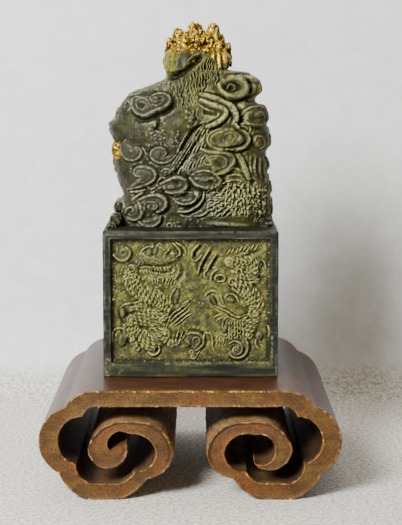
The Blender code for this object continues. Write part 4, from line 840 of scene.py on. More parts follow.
# %% Draw its back and its ends, larger and plainer
def finial_back():
    """Locks below the crest and large curls in three rows, over the same masses."""
    b = Relief(-29, 29, -3, 66, 0.2, 9)
    for mass in ((-14, 35, 13, 9, 1.2), (15, 8, 12, 9, 1.2), (0, 22, 14, 10, 0.5)):
        b.mound(*mass)
    b.hair([(-7.0, 47.6), (2.0, 52.0), (11.0, 53.6)], [(-8.4, 36.4), (1.0, 36.0), (10.4, 38.0)], 20,
           0.5, 1.1, 0.4, 4.2)
    for x, z, radius, start, turns in ((14.5, 44.6, 3.8, 150, 1.4), (-15.5, 38.5, 3.9, 30, -1.3),
                                       (16.4, 32.4, 4.4, 200, -1.3), (4.6, 29.4, 4.2, 330, 1.3),
                                       (-8.4, 29.6, 4.4, 200, -1.3), (-19.4, 26.0, 3.8, 330, 1.3),
                                       (20.0, 20.6, 3.8, 330, 1.3), (-14.6, 17.0, 4.4, 210, -1.3),
                                       (-3.0, 18.4, 4.2, 330, 1.3), (9.4, 17.6, 4.2, 200, -1.3),
                                       (-19.6, 6.2, 4.0, 330, 1.3), (-8.2, 6.8, 4.4, 200, -1.3)):
        b.swirl(x, z, radius, start, turns, 1.6)
    for row in range(4):
        for column in range(8):
            x, z = 2.2 + 2.9 * column + 1.4 * (row % 2), 2.8 + 2.7 * row
            b.ridge(0.45, 1.1, [(x - 1.2, z + 0.7), (x, z - 0.7), (x + 1.2, z + 0.7)])
            b.ridge(0.25, 0.5, [(x, z - 0.2), (x, z + 1.2)])
    b.crumbs(-26, -1, 26, 46, 300, 0.6, 0.2)
    return b.finish(-1.8, 3.0)


def finial_end(hand):
    """An end of the finial, drawn across its depth: staggered curls under locks of hair."""
    e = Relief(-21, 21, -3, 66, 0.2, 20 + hand)
    for row in range(5):
        for column in range(3):
            x = (-11.5 + 9.6 * column + 3.0 * (row % 2)) * hand
            e.swirl(x, 4.6 + 7.6 * row, 3.6, 200 - 90 * (row % 2), 1.25 * hand, 1.5)
    e.hair([(-8.0, 53.0), (8.0, 53.0)], [(-11.0, 40.6), (11.0, 40.6)], 16, 0.5, 1.0, 0.35, 4.0)
    e.crumbs(-20, -1, 20, 46, 200, 0.6, 0.25)
    return e.finish(-1.6, 2.6)


# %% Build the finial and lay the drawings on it
LEFT = [(-2, -24.0), (1.0, -24.4), (3.6, -24.6), (6.4, -24.3), (8.4, -22.5), (10.4, -21.9),
        (13, -23.1), (18.6, -24.8), (22.0, -24.9), (26.8, -24.6), (28.4, -25.4), (30.6, -26.5),
        (32.4, -26.2), (33.8, -24.6), (36.4, -23.7), (40.2, -21.4), (42.6, -18.6), (43.9, -15.0),
        (45.3, -11.4), (46.8, -8.2), (48.4, -7.9), (50.6, -8.6), (52.4, -9.0), (54.2, -8.4),
        (56.6, -6.6), (58.5, -2.0)]
RIGHT = [(-2, 26.2), (3.0, 26.3), (7.5, 26.3), (12.8, 25.6), (16.2, 25.0), (18.6, 25.3),
         (20.6, 24.6), (22.0, 24.0), (24.9, 25.4), (28.7, 25.4), (31.6, 24.8), (34.9, 24.8),
         (37.8, 23.4), (39.4, 21.0), (40.8, 21.2), (42.6, 22.8), (44.6, 22.8), (46.6, 21.6),
         (47.9, 19.4), (48.8, 17.4), (49.0, 15.6), (49.2, 13.6), (50.4, 12.3), (52.4, 12.9), (54.4, 12.6),
         (56.6, 10.0), (58.5, 5.0)]
HALF_DEPTH = [(-2, 17.2), (4, 17.2), (14, 17.0), (26, 16.8), (34, 15.8), (40, 13.8), (45, 11.6),
              (48, 9.6), (52, 8.2), (55, 6.8), (57.4, 4.4), (58.5, 2.0)]
FINIAL_FOOT, FINIAL_TOP = -1.0, 58.5
EYE = np.array((3.28, -464.8, 134.4))
DRAWN_ON_Y = -13.0
POWER = 3.0


def through(z, knots):
    """A smooth value at each height z through (height, value) knots, by Hermite pieces."""
    at, value = np.array(knots, float).T
    slope = np.gradient(value, at)
    k = np.clip(np.searchsorted(at, z, side="right") - 1, 0, len(at) - 2)
    step = at[k + 1] - at[k]
    s = np.clip((z - at[k]) / step, 0, 1)
    return ((2 * s ** 3 - 3 * s ** 2 + 1) * value[k] + (s ** 3 - 2 * s ** 2 + s) * step * slope[k]
            + (3 * s ** 2 - 2 * s ** 3) * value[k + 1] + (s ** 3 - s ** 2) * step * slope[k + 1])


def signed_power(value, power):
    """sign(v) |v|^p, which turns a circle into a rounded oblong."""
    return np.sign(value) * np.abs(value) ** power


def spaced(cost, count):
    """Places from 0 to 1 at which a running total of the cost grows evenly."""
    total = np.concatenate(([0], np.cumsum(cost)))
    return np.interp(np.linspace(0, total[-1], count), total, np.linspace(0, 1, len(total)))


def finial_base(rings, steps):
    """The smooth finial in millimetres above the block, with its outward directions.

    x = middle(z) + half width(z) * cos^(2/p), y = half depth(z) * sin^(2/p). Rows are closer where
    the outline runs level, and points are twice as close on the front as elsewhere.
    """
    fine = np.linspace(FINIAL_FOOT, FINIAL_TOP, 1200)
    climb = np.diff(fine)
    lean = sum(np.abs(np.diff(through(fine, knots))) for knots in (LEFT, RIGHT, HALF_DEPTH))
    z = FINIAL_FOOT + (FINIAL_TOP - FINIAL_FOOT) * spaced(np.hypot(climb, 0.35 * lean), rings)
    turn = np.linspace(0, math.tau, 8001)
    outline = np.stack((27.0 * signed_power(np.cos(turn), 2 / POWER),
                        17.0 * signed_power(np.sin(turn), 2 / POWER)))
    length = np.hypot(*np.diff(outline, axis=1))
    front = np.clip(-np.sin(turn[1:]) * 3, 0, 1)
    share = spaced(length * (0.46 + 0.54 * front), steps + 1)[:-1]
    turn = np.interp(share, np.linspace(0, 1, 8001), turn)
    left, right = through(z, LEFT), through(z, RIGHT)
    middle, half_width = ((left + right) / 2)[:, None], ((right - left) / 2)[:, None]
    half_depth = through(z, HALF_DEPTH)[:, None]
    x = middle + half_width * signed_power(np.cos(turn), 2 / POWER)[None, :]
    y = half_depth * signed_power(np.sin(turn), 2 / POWER)[None, :]
    base = np.stack((x, y, np.broadcast_to(z[:, None], x.shape)), axis=-1)
    along = np.roll(base, -1, axis=1) - np.roll(base, 1, axis=1)
    rise = np.gradient(base, axis=0)
    normal = np.cross(along, rise)
    normal[..., 2] *= 0.75
    return base, normal / np.maximum(np.linalg.norm(normal, axis=-1, keepdims=True), 1e-9)


base, normal = finial_base(262, 368)
place = base + (0, BLOCK_MIDDLE_Y, BLOCK_TOP)
sight = (DRAWN_ON_Y - EYE[1]) / (place[..., 1] - EYE[1])
seen_x = EYE[0] + (place[..., 0] - EYE[0]) * sight
seen_z = EYE[2] + (place[..., 2] - EYE[2]) * sight - BLOCK_TOP
front, back, ends = finial_front(), finial_back(), (finial_end(1), finial_end(-1))
is_front = step_between(-normal[..., 1], 0.05, 0.45)
is_back = step_between(normal[..., 1], 0.15, 0.6)
is_end = 1 - is_front - is_back


def laid(name):
    """A map of the three drawings, mixed by the way the surface faces."""
    x, y, z = base[..., 0], base[..., 1], base[..., 2]
    end = np.where(normal[..., 0] < 0, ends[0].read(name, y, z), ends[1].read(name, y, z))
    return (is_front * front.read(name, seen_x, seen_z) + is_back * back.read(name, x, z)
            + is_end * end)


at_outline = np.exp(-((normal[..., 1] + 0.06) / 0.22) ** 2)
height = laid("height") * (1 - 0.3 * is_end) * (1 - 0.5 * at_outline)
hollow = step_between(np.abs(normal[..., 2]), 0.95, 0.6)
height *= (step_between(base[..., 2], FINIAL_FOOT, 0.6) * (0.3 + 0.7 * hollow)
           * step_between(FINIAL_TOP - base[..., 2], 0, 3))
height += 0.05 * waves(place, 2.2, 30)
cast = place + normal * height[..., None]

# %% Say where the finial is gilded, yellow, grey and rubbed
gilt_line = seen_z + 1.3 * waves(place, 3.0, 31) + 4.2 * step_between(seen_x, 5.5, 8.5)
gilt = step_between(gilt_line, 54.4, 56.6)
jaw = step_between(2.6 - np.hypot((seen_x + 10.6) / 1.3, seen_z - 28.6), 0, 1)
gilt = np.maximum(gilt, 0.42 * jaw * step_between(waves(place, 1.5, 32), 0.25, 0.7))
flare = (step_between(seen_x, 5.6, 7.6) * step_between(-seen_x, -14, -12.5)
         * step_between(seen_z, 47, 52))
lobe = step_between(-seen_x, 3.4, 5.0) * step_between(seen_z, 46.5, 49)
lobe *= 0.6 + 0.4 * step_between(waves(place * (1, 1, 0.2), 1.8, 33), -0.4, 0.5)
gilt = np.maximum(gilt, 0.42 * flare * step_between(seen_z, 49, 55))
to_right = step_between(seen_x + 0.4 * seen_z, 8, 18)
ochre = 0.05 + 0.68 * to_right - 0.25 * step_between(seen_x, 18, 23)
haunch = step_between(seen_x, 3, 6) * step_between(14 - seen_z, 0, 2)
along, aside = seen_x + 4.4 + seen_z - 33.0, seen_z - 33.0 - seen_x - 4.4
# The cheek is made yellower: partly its olive-yellow patina, partly a painted highlight.
cheek_patina_and_highlight = np.exp(-(along / 6.4) ** 2 - (aside / 3.6) ** 2)
ochre = np.maximum(np.maximum(ochre, 0.7 * cheek_patina_and_highlight), np.maximum(flare, lobe))
neck = step_between(seen_z, 38, 46)
mane = (step_between(seen_x, -8, -5) * step_between(10 - seen_x, 0, 2)
        * step_between(seen_z - 36 - 0.9 * np.clip(seen_x + 2, 0, 9), 0, 2))
calm = np.maximum(0.55 * mane, 0.45 * step_between(seen_x, 18, 21.5))
calm = np.maximum(calm, 0.3 * step_between(-seen_x, 3, 7) * step_between(33 - seen_z, 0, 5)
                  * step_between(seen_z, 20, 24))
calm = np.maximum(calm, 0.3 * step_between(5 - np.hypot(seen_x - 11.5, (seen_z - 28) * 1.4), 0, 2))
patch = np.exp(-((seen_x + 2.3 - 0.5 * (seen_z - 52.6)) / 1.5) ** 2
               - ((seen_z - 52.6) / 2.2) ** 2)
ochre = ochre * (1 - patch) + 0.8 * np.maximum(lobe * (1 - patch), 0)
bright = np.maximum(flare, lobe)
values = {"cavity": laid("cavity") * (0.72 + 0.28 * neck - 0.25 * haunch),
          "worn": laid("worn") * (1 - 0.6 * bright) * (1 - calm) * (1 + 0.3 * haunch),
          "busy": np.maximum(laid("busy"), bright),
          "slate": np.maximum(laid("slate") * (0.85 - 0.5 * to_right), 0.95 * patch),
          "gilt": gilt, "ochre": ochre, "plain": np.zeros(gilt.shape)}
finial = closed_band("seal_finial", cast, **values)
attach(finial, "root")
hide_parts("dragon_seal")

# %% [markdown]
# ## The crest, the pearl and the lumps at the foot
#
# The crest is a crowd of rough knobs, gilded over the patina. Each is a stretched ball whose
# surface is roughened by waves, and they run into each other as cast metal does. The small pearl
# or tooth at the left edge and the lumps of cloud at the block's corners are made the same way.


# %% Knobs of cast metal
def knob_points(place, half_sizes, rings, steps, rough, seed):
    """A ball stretched to its half sizes, creased where a sum of waves crosses nought."""
    tilt = np.linspace(0.02, math.pi - 0.02, rings)[:, None]
    turn = np.linspace(0, math.tau, steps, endpoint=False)[None, :]
    ball = np.stack((np.sin(tilt) * np.cos(turn), np.sin(tilt) * np.sin(turn),
                     -np.cos(tilt) * np.ones_like(turn)), axis=-1)
    spread = signed_power(ball, 0.7) * half_sizes
    wide, narrow = waves(spread + place, 3.0, seed), waves(spread, 1.2, seed + 1)
    creases = 0.9 - 1.2 * np.abs(wide) - 1.1 * np.abs(narrow)
    return spread * (1 + rough * creases)[..., None] + place, creases


def knobs_object(name, knobs, rings, steps, rough, gilt, seed):
    """Many knobs in one mesh, with how deep each point lies in a crease or between neighbours."""
    shapes = [knob_points(np.array(place), np.array(half), rings, steps, rough, seed + 3 * number)
              for number, (place, half) in enumerate(knobs)]
    points = np.stack([shape for shape, _ in shapes])
    creases = np.stack([crease for _, crease in shapes]).ravel()
    centres = np.array([place for place, _ in knobs])
    halves = np.array([half for _, half in knobs])
    flat = points.reshape(-1, 3)
    depth = np.zeros(len(flat))
    for number, (centre, half) in enumerate(zip(centres, halves)):
        near = np.clip(1.35 - np.linalg.norm((flat - centre) / half, axis=1), 0, 1) / 0.35
        near[number * rings * steps:(number + 1) * rings * steps] = 0
        depth = np.maximum(depth, np.clip(near, 0, 1))
    face, caps = ring_faces(rings, steps), []
    faces = np.concatenate([face + number * rings * steps for number in range(len(knobs))])
    for number in range(len(knobs)):
        first = number * rings * steps
        caps += [first + np.arange(steps)[::-1], first + (rings - 1) * steps + np.arange(steps)]
    rise = (points[..., 2] - centres[:, None, None, 2]) / halves[:, None, None, 2]
    shape = {"cavity": np.clip(0.5 * depth + np.clip(0.25 - 1.3 * creases, 0, 1), 0, 1),
             "worn": (np.clip(2.4 * creases - 0.9, 0, 1) * np.clip(rise.ravel() + 0.9, 0.2, 1)
                      * (1 - depth))}
    for key, value in (("busy", 0.6), ("gilt", gilt), ("plain", 0), ("slate", 0), ("ochre", 0.1)):
        shape[key] = np.full(len(flat), value)
    return surface_object(name, points, faces, caps, **shape)


def on_seal(x, y, z):
    """A place given from the block's middle line and top."""
    return x, BLOCK_MIDDLE_Y + y, BLOCK_TOP + z


# Prongs of the crest: x, top, half width and half height
PRONGS = [(-6.6, 59.6, 1.5, 2.4), (-4.1, 62.4, 1.9, 3.8), (-1.8, 61.4, 1.2, 3.0),
          (1.3, 64.2, 2.6, 5.4), (4.3, 61.8, 1.2, 3.4), (7.2, 63.9, 2.2, 5.8),
          (9.9, 60.6, 1.1, 3.2), (11.8, 58.2, 1.2, 2.6), (12.4, 54.8, 1.0, 2.2),
          (-7.6, 56.4, 1.0, 1.6)]
CROWD = 50
CREST_X, CREST_HALF_WIDTH, CREST_HALF_DEPTH = 2.3, 8.8, 6.2
CREST_RIM, CREST_DOME = 55.4, 5.9
GOLDEN_TURN = 2.4
random = np.random.default_rng(12)
crest = []
for x, top, half, tall in PRONGS:
    crest.append((on_seal(x, random.uniform(-0.8, 0.8), top - tall), (half, half * 1.1, tall)))
for number in range(CROWD):
    reach, turn = math.sqrt((number + 0.5) / CROWD), number * GOLDEN_TURN
    x, y = CREST_X + CREST_HALF_WIDTH * reach * math.cos(turn), CREST_HALF_DEPTH * reach * math.sin(turn)
    top = CREST_RIM + CREST_DOME * math.sqrt(max(1 - reach ** 2, 0)) + random.uniform(-0.7, 0.7)
    half, tall = random.uniform(0.9, 1.6), random.uniform(1.6, 3.2)
    crest.append((on_seal(x, y, top - tall), (half, half, tall)))
crest = knobs_object("gilded_crest", crest, 34, 42, 0.23, 1.0, 40)
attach(crest, "root")
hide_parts("dragon_seal")

pearl = knobs_object("gilded_pearl", [(on_seal(-23.4, -8.6, 24.2), (2.0, 2.6, 2.6)),
                                      (on_seal(-23.0, -8.2, 22.2), (1.8, 2.4, 1.3))],
                     24, 32, 0.12, 0.95, 90)
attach(pearl, "root")
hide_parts("dragon_seal")

lumps = knobs_object("corner_clouds", [(on_seal(-25.0, -17.5, 0.0), (1.6, 5.0, 1.7)),
                                       (on_seal(-24.0, -12.5, 1.0), (2.0, 3.6, 2.8)),
                                       (on_seal(-23.4, -9.0, 5.6), (1.4, 2.4, 1.5)),
                                       (on_seal(24.2, -12.0, 0.4), (2.2, 3.2, 1.9)),
                                       (on_seal(24.4, -2.0, 0.6), (2.2, 4.4, 2.4))],
                     34, 44, 0.16, 0.0, 60)
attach(lumps, "root")
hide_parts("dragon_seal")

# %% [markdown]
# ## The wooden stand
#
# The stand is one thick ribbon of wood. Seen from the front it has an outer line and an inner line,
# and both are chains of arcs: three lobes a side, then a roll, which ends in a thick tongue on the
# left and in a thin lip on the right. A station joins a point of one line to its partner on the
# other, and at every station the wood's section is the same rounded oblong, as deep as the stand.

# %% The two lines of the ribbon
STAND_WIDTH, STAND_HEIGHT = stand_high[0] - stand_low[0], stand_high[2]
STAND_FRONT, STAND_BACK = stand_low[1], stand_high[1]
SCROLL_GAP, SCROLL_WALL, BOARD = 9.7, 5.8, 5.1
SCROLL_WIDTH = STAND_WIDTH / 2 - SCROLL_GAP / 2
BOARD_END = (0.562, 1.000, -0.24, -0.90)
LOBES = [((0.711, 0.962, -0.66, -0.73), (0.806, 0.853, -0.98, -0.54)),
         ((1.000, 0.554, -1.04, 0.04), (0.855, 0.240, -0.94, 0.52)),
         ((0.778, 0.097, -0.64, 0.67), (0.646, 0.000, -0.26, 0.90)),
         ((0.525, 0.000, -0.08, 0.90), (0.404, 0.000, 0.09, 0.90)),
         ((0.286, 0.076, 0.45, 0.66), (0.197, 0.193, 0.72, 0.40)),
         ((0.035, 0.311, 0.90, 0.17), (0.000, 0.437, 0.98, 0.02)),
         ((0.077, 0.622, 0.78, -0.45), (0.301, 0.718, 0.10, -0.68))]
LEFT_ROLL = ([((0.508, 0.676), (0.639, 0.475)), ((0.583, 0.325), (0.474, 0.284)),
              ((0.386, 0.337), (0.352, 0.528))],
             [(None, (0.395, 0.634)), ((0.480, 0.573), (0.498, 0.437))])
RIGHT_ROLL = ([((0.508, 0.676), (0.639, 0.475)), ((0.583, 0.318), (0.440, 0.272)),
               ((0.386, 0.296), (0.354, 0.335))],
              [(None, (0.370, 0.595)), ((0.476, 0.556), (0.497, 0.397)),
               ((0.440, 0.330), (0.360, 0.342))])


def arc_through(start, middle, end, steps=24):
    """Points on the circle through three points, or on a straight line where there is no middle."""
    if middle is None:
        return np.linspace(start, end, steps + 1)
    (ax, az), (bx, bz), (cx, cz) = start, middle, end
    twice = 2 * (ax * (bz - cz) + bx * (cz - az) + cx * (az - bz))
    if abs(twice) < 0.02:
        return np.linspace(start, end, steps + 1)
    sa, sb, sc = ax * ax + az * az, bx * bx + bz * bz, cx * cx + cz * cz
    mx = (sa * (bz - cz) + sb * (cz - az) + sc * (az - bz)) / twice
    mz = (sa * (cx - bx) + sb * (ax - cx) + sc * (bx - ax)) / twice
    first = math.atan2(az - mz, ax - mx)
    to_middle = (math.atan2(bz - mz, bx - mx) - first) % math.tau
    to_end = (math.atan2(cz - mz, cx - mx) - first) % math.tau
    back = 0 if to_middle < to_end else math.tau
    turn = first + np.linspace(0, to_end - back, steps + 1)
    radius = math.hypot(ax - mx, az - mz)
    return np.column_stack((mx + radius * np.cos(turn), mz + radius * np.sin(turn)))


def evenly(points, count):
    """A line as count + 1 points, the same length of it between each two."""
    length = np.concatenate(([0], np.cumsum(np.hypot(*np.diff(points, axis=0).T))))
    at = np.linspace(0, length[-1], count + 1)
    return np.column_stack([np.interp(at, length, points[:, axis]) for axis in (0, 1)])


def half_ribbon(roll, pitch=0.62):
    """Partner points on the outer and the inner line at +X, from the middle to the roll's end."""
    def outer(at):
        return SCROLL_GAP / 2 + at[0] * SCROLL_WIDTH, at[1] * STAND_HEIGHT

    def inner(at):
        x, z = outer(at)
        return x + at[2] * SCROLL_WALL, z + at[3] * SCROLL_WALL

    under = STAND_HEIGHT - BOARD
    runs = [(np.array([(0, STAND_HEIGHT), outer(BOARD_END)]),
             np.array([(0, under), (inner(BOARD_END)[0], under)]))]
    for middle, end in LOBES:
        runs.append((arc_through(runs[-1][0][-1], outer(middle), outer(end)),
                     arc_through(runs[-1][1][-1], inner(middle), inner(end))))
    rolled = []
    for side, arcs in enumerate(roll):
        line = [runs[-1][side][-1:]]
        for middle, end in arcs:
            line.append(arc_through(line[-1][-1], middle and outer(middle), outer(end))[1:])
        rolled.append(np.vstack(line))
    runs.append(tuple(rolled))
    lines = ([], [])
    for pair in runs:
        count = int(max(np.hypot(*np.diff(line, axis=0).T).sum() for line in pair) / pitch) + 1
        for side, line in enumerate(pair):
            lines[side].append(evenly(line, count)[1:])
    return [np.vstack(line) for line in lines]


right, left = half_ribbon(RIGHT_ROLL), half_ribbon(LEFT_ROLL)
middle = np.array([(0, STAND_HEIGHT)]), np.array([(0, STAND_HEIGHT - BOARD)])
outer_line, inner_line = (np.vstack((right[side][::-1], middle[side], left[side] * (-1, 1)))
                          for side in (0, 1))
print("stand ribbon", len(outer_line), "stations")

# %% Give the ribbon its rounded section
FACE_POINTS, DEPTH_POINTS = 9, 42
ROUND = 0.65
ROLL_REACH, UNDER_BOARD = 31, 28
apart = np.hypot(*(inner_line - outer_line).T)[:, None]
corner = np.minimum(ROUND, 0.3 * apart)
bend = np.linspace(0, math.pi / 2, 5)[None, :]
face = np.linspace(0, 1, FACE_POINTS)[None, 1:-1]
run = np.linspace(0, 1, DEPTH_POINTS)[None, 1:-1]
deep = STAND_BACK - STAND_FRONT
quarter_s, quarter_y = corner * (1 - np.cos(bend)), corner * (1 - np.sin(bend))
across = np.concatenate((quarter_s, corner + (apart - 2 * corner) * face,
                         (apart - quarter_s)[:, ::-1], np.repeat(apart, run.size, axis=1),
                         apart - quarter_s, apart - corner - (apart - 2 * corner) * face,
                         quarter_s[:, ::-1], np.zeros((len(apart), run.size))), axis=1)
along_y = np.concatenate((quarter_y, np.zeros((len(apart), face.size)), quarter_y[:, ::-1],
                          corner + (deep - 2 * corner) * run, deep - quarter_y,
                          np.full((len(apart), face.size), deep), (deep - quarter_y)[:, ::-1],
                          deep - corner - (deep - 2 * corner) * run), axis=1)
share = across / apart
flat = outer_line[:, None] * (1 - share[..., None]) + inner_line[:, None] * share[..., None]
ribbon = np.stack((flat[..., 0], STAND_FRONT + along_y, flat[..., 1]), axis=-1)
from_end = np.minimum(along_y, deep - along_y)
is_cut = (from_end < 0.5 * corner).astype(float)
# inside marks the inner faces, which the wood finish paints dark as shade.
inside = step_between(share, 0.97, 1.0) * (1 - is_cut)
from_roll, below_board = ROLL_REACH - np.abs(ribbon[..., 0]), UNDER_BOARD - ribbon[..., 2]
# rolled marks the roll tops under the board, which the wood finish paints paler: painted light where the
# board shades them.
rolled = (1 - is_cut) * step_between(from_roll, 0, 4) * step_between(below_board, 0, 2)
from_edge = np.minimum(across, apart - across)
rim = np.exp(-((from_edge - 0.22) / 0.27) ** 2) * np.exp(-from_end / 1.2)
uneven = 0.10 * waves(ribbon, 13, 70) + 0.04 * waves(ribbon, 3.2, 71)
outwards = (outer_line - inner_line) / apart
limits = np.clip(np.minimum(ribbon[..., 2], STAND_HEIGHT - ribbon[..., 2]) / 1.5, 0, 1)
limits = limits * np.clip((STAND_WIDTH / 2 - np.abs(ribbon[..., 0])) / 1.5, 0, 1)
ribbon[..., ::2] += outwards[:, None] * (uneven * limits)[..., None] * (1 - 2 * share[..., None])
dish = 0.42 * np.sqrt(np.clip(1 - (2 * share - 1) ** 2, 0, 1)) + 0.05 * waves(ribbon, 2.4, 72)
inwards = np.where(along_y < 1, 1, -1)
ribbon[..., 1] += is_cut * inwards * dish * step_between(from_edge, 0.3, 0.7)
from_roll, below_board = ROLL_REACH - np.abs(ribbon[..., 0]), UNDER_BOARD - ribbon[..., 2]
lip = (is_cut * step_between(from_roll, 0, 3) * step_between(ribbon[..., 2], 9, 13)
       * step_between(below_board, 0, 1) * np.exp(-((share - 0.2) / 0.07) ** 2))
ribbon[..., 1] += 0.28 * lip * inwards
# A dark band near the outer line of the cut faces and along the groove by the roll's lip, which the wood
# finish paints as shade.
contour = np.maximum(0.7 * np.clip((0.13 - share) / 0.1, 0, 1) * is_cut, 0.8 * lip)
stand = closed_band("carved_stand", ribbon, rim=rim, cut=is_cut, contour=contour, inside=inside,
                    rolled=rolled)
bm = bmesh.new()
bm.from_mesh(stand.data)
bmesh.ops.recalc_face_normals(bm, faces=bm.faces[:])
bm.to_mesh(stand.data)
bm.free()
stand.data.set_sharp_from_angle(angle=math.radians(42))
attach(stand, "root")
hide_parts("scroll_stand")

# %% [markdown]
# ## Finishes
#
# Every finish here is a tint that changes with the carving, so one node group does it for all:
# dark dirt in the hollows, a ground colour between, and a rubbed colour on what stands proud, each
# broken up by fine noise. The patina gives it slate where the metal is plain and olive where it is
# busy, the gilding gives it orange and gold, and the wood uses it on its worn cut edges and for
# painted shade on its inner faces, through the same dark colour that stands for dirt elsewhere.


# %% A group that tints by hollows and wear
def new_group(name, inputs, outputs):
    """An empty node group with typed sockets."""
    group = bpy.data.node_groups.new(name, "ShaderNodeTree")
    for label, kind, default in inputs:
        socket = group.interface.new_socket(label, in_out="INPUT", socket_type=kind)
        socket.default_value = default
    for label, kind in outputs:
        group.interface.new_socket(label, in_out="OUTPUT", socket_type=kind)
    return group, group.nodes.new("NodeGroupInput"), group.nodes.new("NodeGroupOutput")


class Nodes:
    """Short names for the nodes that these finishes use."""

    def __init__(self, tree):
        self.tree = tree

    def link(self, source, socket):
        """Join a socket, or set it where the source is a value."""
        if isinstance(source, bpy.types.NodeSocket):
            self.tree.links.new(source, socket)
        else:
            socket.default_value = source

    def new(self, kind, **inputs):
        """A shader node with its named inputs joined or set."""
        node = self.tree.nodes.new("ShaderNode" + kind)
        for label, value in inputs.items():
            self.link(value, node.inputs[label])
        return node

    def math(self, kind, a, b=0.0, c=0.0, clamp=False):
        node = self.tree.nodes.new("ShaderNodeMath")
        node.operation, node.use_clamp = kind, clamp
        for socket, value in zip(node.inputs, (a, b, c)):
            self.link(value, socket)
        return node.outputs[0]

    def mix(self, share, a, b):
        node = self.tree.nodes.new("ShaderNodeMix")
        node.data_type, node.clamp_factor = 'RGBA', True
        self.link(share, node.inputs[0])
        self.link(a if isinstance(a, bpy.types.NodeSocket) else (*a, 1.0), node.inputs[6])
        self.link(b if isinstance(b, bpy.types.NodeSocket) else (*b, 1.0), node.inputs[7])
        return node.outputs[2]

    def stain(self, base, mask, share, colour):
        """A colour over the base where the mask is, up to a share."""
        return self.mix(self.math('MULTIPLY', mask, share), base, colour)

    def ramp(self, value, low, high):
        node = self.tree.nodes.new("ShaderNodeMapRange")
        node.interpolation_type = 'SMOOTHSTEP'
        self.link(value, node.inputs[0])
        node.inputs[1].default_value, node.inputs[2].default_value = low, high
        return node.outputs[0]

    def attribute(self, name):
        node = self.tree.nodes.new("ShaderNodeAttribute")
        node.attribute_name = name
        return node.outputs["Fac"]

    def place(self, stretch=(1, 1, 1)):
        """Object coordinates in millimetres, stretched along the axes."""
        spot = self.tree.nodes.new("ShaderNodeTexCoord")
        scale = self.tree.nodes.new("ShaderNodeMapping")
        scale.inputs["Scale"].default_value = [1 / (MM * s) for s in stretch]
        self.tree.links.new(spot.outputs["Object"], scale.inputs["Vector"])
        return scale.outputs[0]

    def noise(self, vector, pitch, detail=4.0, rough=0.55):
        """Noise with features about as wide as pitch millimetres."""
        node = self.new("TexNoise", Vector=vector, Scale=1 / pitch, Detail=detail, Roughness=rough)
        return node.outputs[0]

    def bump(self, height, strength, distance):
        return self.new("Bump", Strength=strength, Distance=distance * MM, Height=height).outputs[0]


tint, tint_in, tint_out = new_group(
    "tint_by_carving",
    (("Ground", "NodeSocketColor", (0.2, 0.2, 0.1, 1)),
     ("Deep", "NodeSocketColor", (0.02, 0.02, 0.01, 1)),
     ("Bare", "NodeSocketColor", (0.5, 0.5, 0.3, 1)), ("Cavity", "NodeSocketFloat", 0.0),
     ("Worn", "NodeSocketFloat", 0.0), ("Pitch", "NodeSocketFloat", 1.0)),
    (("Color", "NodeSocketColor"), ("Broken", "NodeSocketFloat")))
n = Nodes(tint)
broken = n.new("TexNoise", Vector=n.place(), Scale=n.math('DIVIDE', 1.0, tint_in.outputs["Pitch"]),
               Detail=5.0, Roughness=0.6).outputs[0]
uneven = n.math('ADD', broken, 0.5)
# Darkening toward the Deep colour: dirt and patina on the metal, painted shade on the wood's inner faces.
dirt_and_shade = n.math('MULTIPLY', tint_in.outputs["Cavity"], uneven, clamp=True)
rub = n.math('MULTIPLY', tint_in.outputs["Worn"], uneven, clamp=True)
shaded = n.mix(dirt_and_shade, tint_in.outputs["Ground"], tint_in.outputs["Deep"])
n.link(n.mix(rub, shaded, tint_in.outputs["Bare"]), tint_out.inputs["Color"])
n.link(broken, tint_out.inputs["Broken"])


def use_tint(tree, **inputs):
    """The tint group placed in a material with its own values."""
    node = tree.nodes.new("ShaderNodeGroup")
    node.node_tree = tint
    for label, value in inputs.items():
        Nodes(tree).link(value if not isinstance(value, tuple) else (*value, 1.0), node.inputs[label])
    return node


def new_material(name):
    """A material with its Principled shader."""
    material = bpy.data.materials.new(name)
    material.use_nodes = True
    return material, material.node_tree, material.node_tree.nodes["Principled BSDF"]


print("node group", tint.name)

# %% [markdown]
# ## Patina and gilding
#
# The metal's patina is a matt green-brown. Plain faces are slate grey, busy carving is olive with
# yellow in it, hollows are nearly black, and the ridges are rubbed to a pale straw colour. The
# finial is duskier at its left and yellower at its right. The crest is gilded: gold where it is
# rubbed, orange in its depths, with bright specks of gold painted on as glints.

# %% The patinated bronze
bronze, tree, shader = new_material("patinated_bronze")
n = Nodes(tree)
spot = n.place()
wide, middling = n.noise(spot, 9.0, 3.0), n.noise(spot, 2.6, 4.0)
busy = n.math('ADD', n.attribute("busy"), n.math('MULTIPLY_ADD', wide, 1.2, -0.6), clamp=True)
olive = n.mix(n.ramp(middling, 0.40, 0.66), (0.055, 0.052, 0.0125), (0.148, 0.139, 0.030))
ground = n.mix(n.ramp(busy, 0.0, 0.5), (0.046, 0.048, 0.022), olive)
dusky = n.mix(n.ramp(middling, 0.40, 0.66), (0.009, 0.009, 0.004), (0.030, 0.030, 0.009))
ground = n.mix(n.attribute("ochre"), dusky, ground)
brightest = n.math('SUBTRACT', n.attribute("ochre"), 1.05, clamp=True)
ground = n.mix(brightest, ground, (0.205, 0.205, 0.006))
ground = n.stain(ground, n.attribute("slate"), 0.9, (0.028, 0.0275, 0.019))
mottle = n.ramp(n.noise(spot, 1.5, 4.0, 0.6), 0.50, 0.64)
ground = n.stain(ground, mottle, 0.55, (0.020, 0.018, 0.007))
cloud = n.ramp(n.noise(spot, 4.6, 4.0, 0.62), 0.50, 0.62)
ground = n.stain(ground, cloud, 0.5, (0.026, 0.029, 0.017))
streak = n.noise(n.place((9, 9, 1.1)), 1.0, 4.0)
plain_tone = n.mix(n.ramp(streak, 0.42, 0.75), (0.012, 0.013, 0.0105), (0.033, 0.034, 0.026))
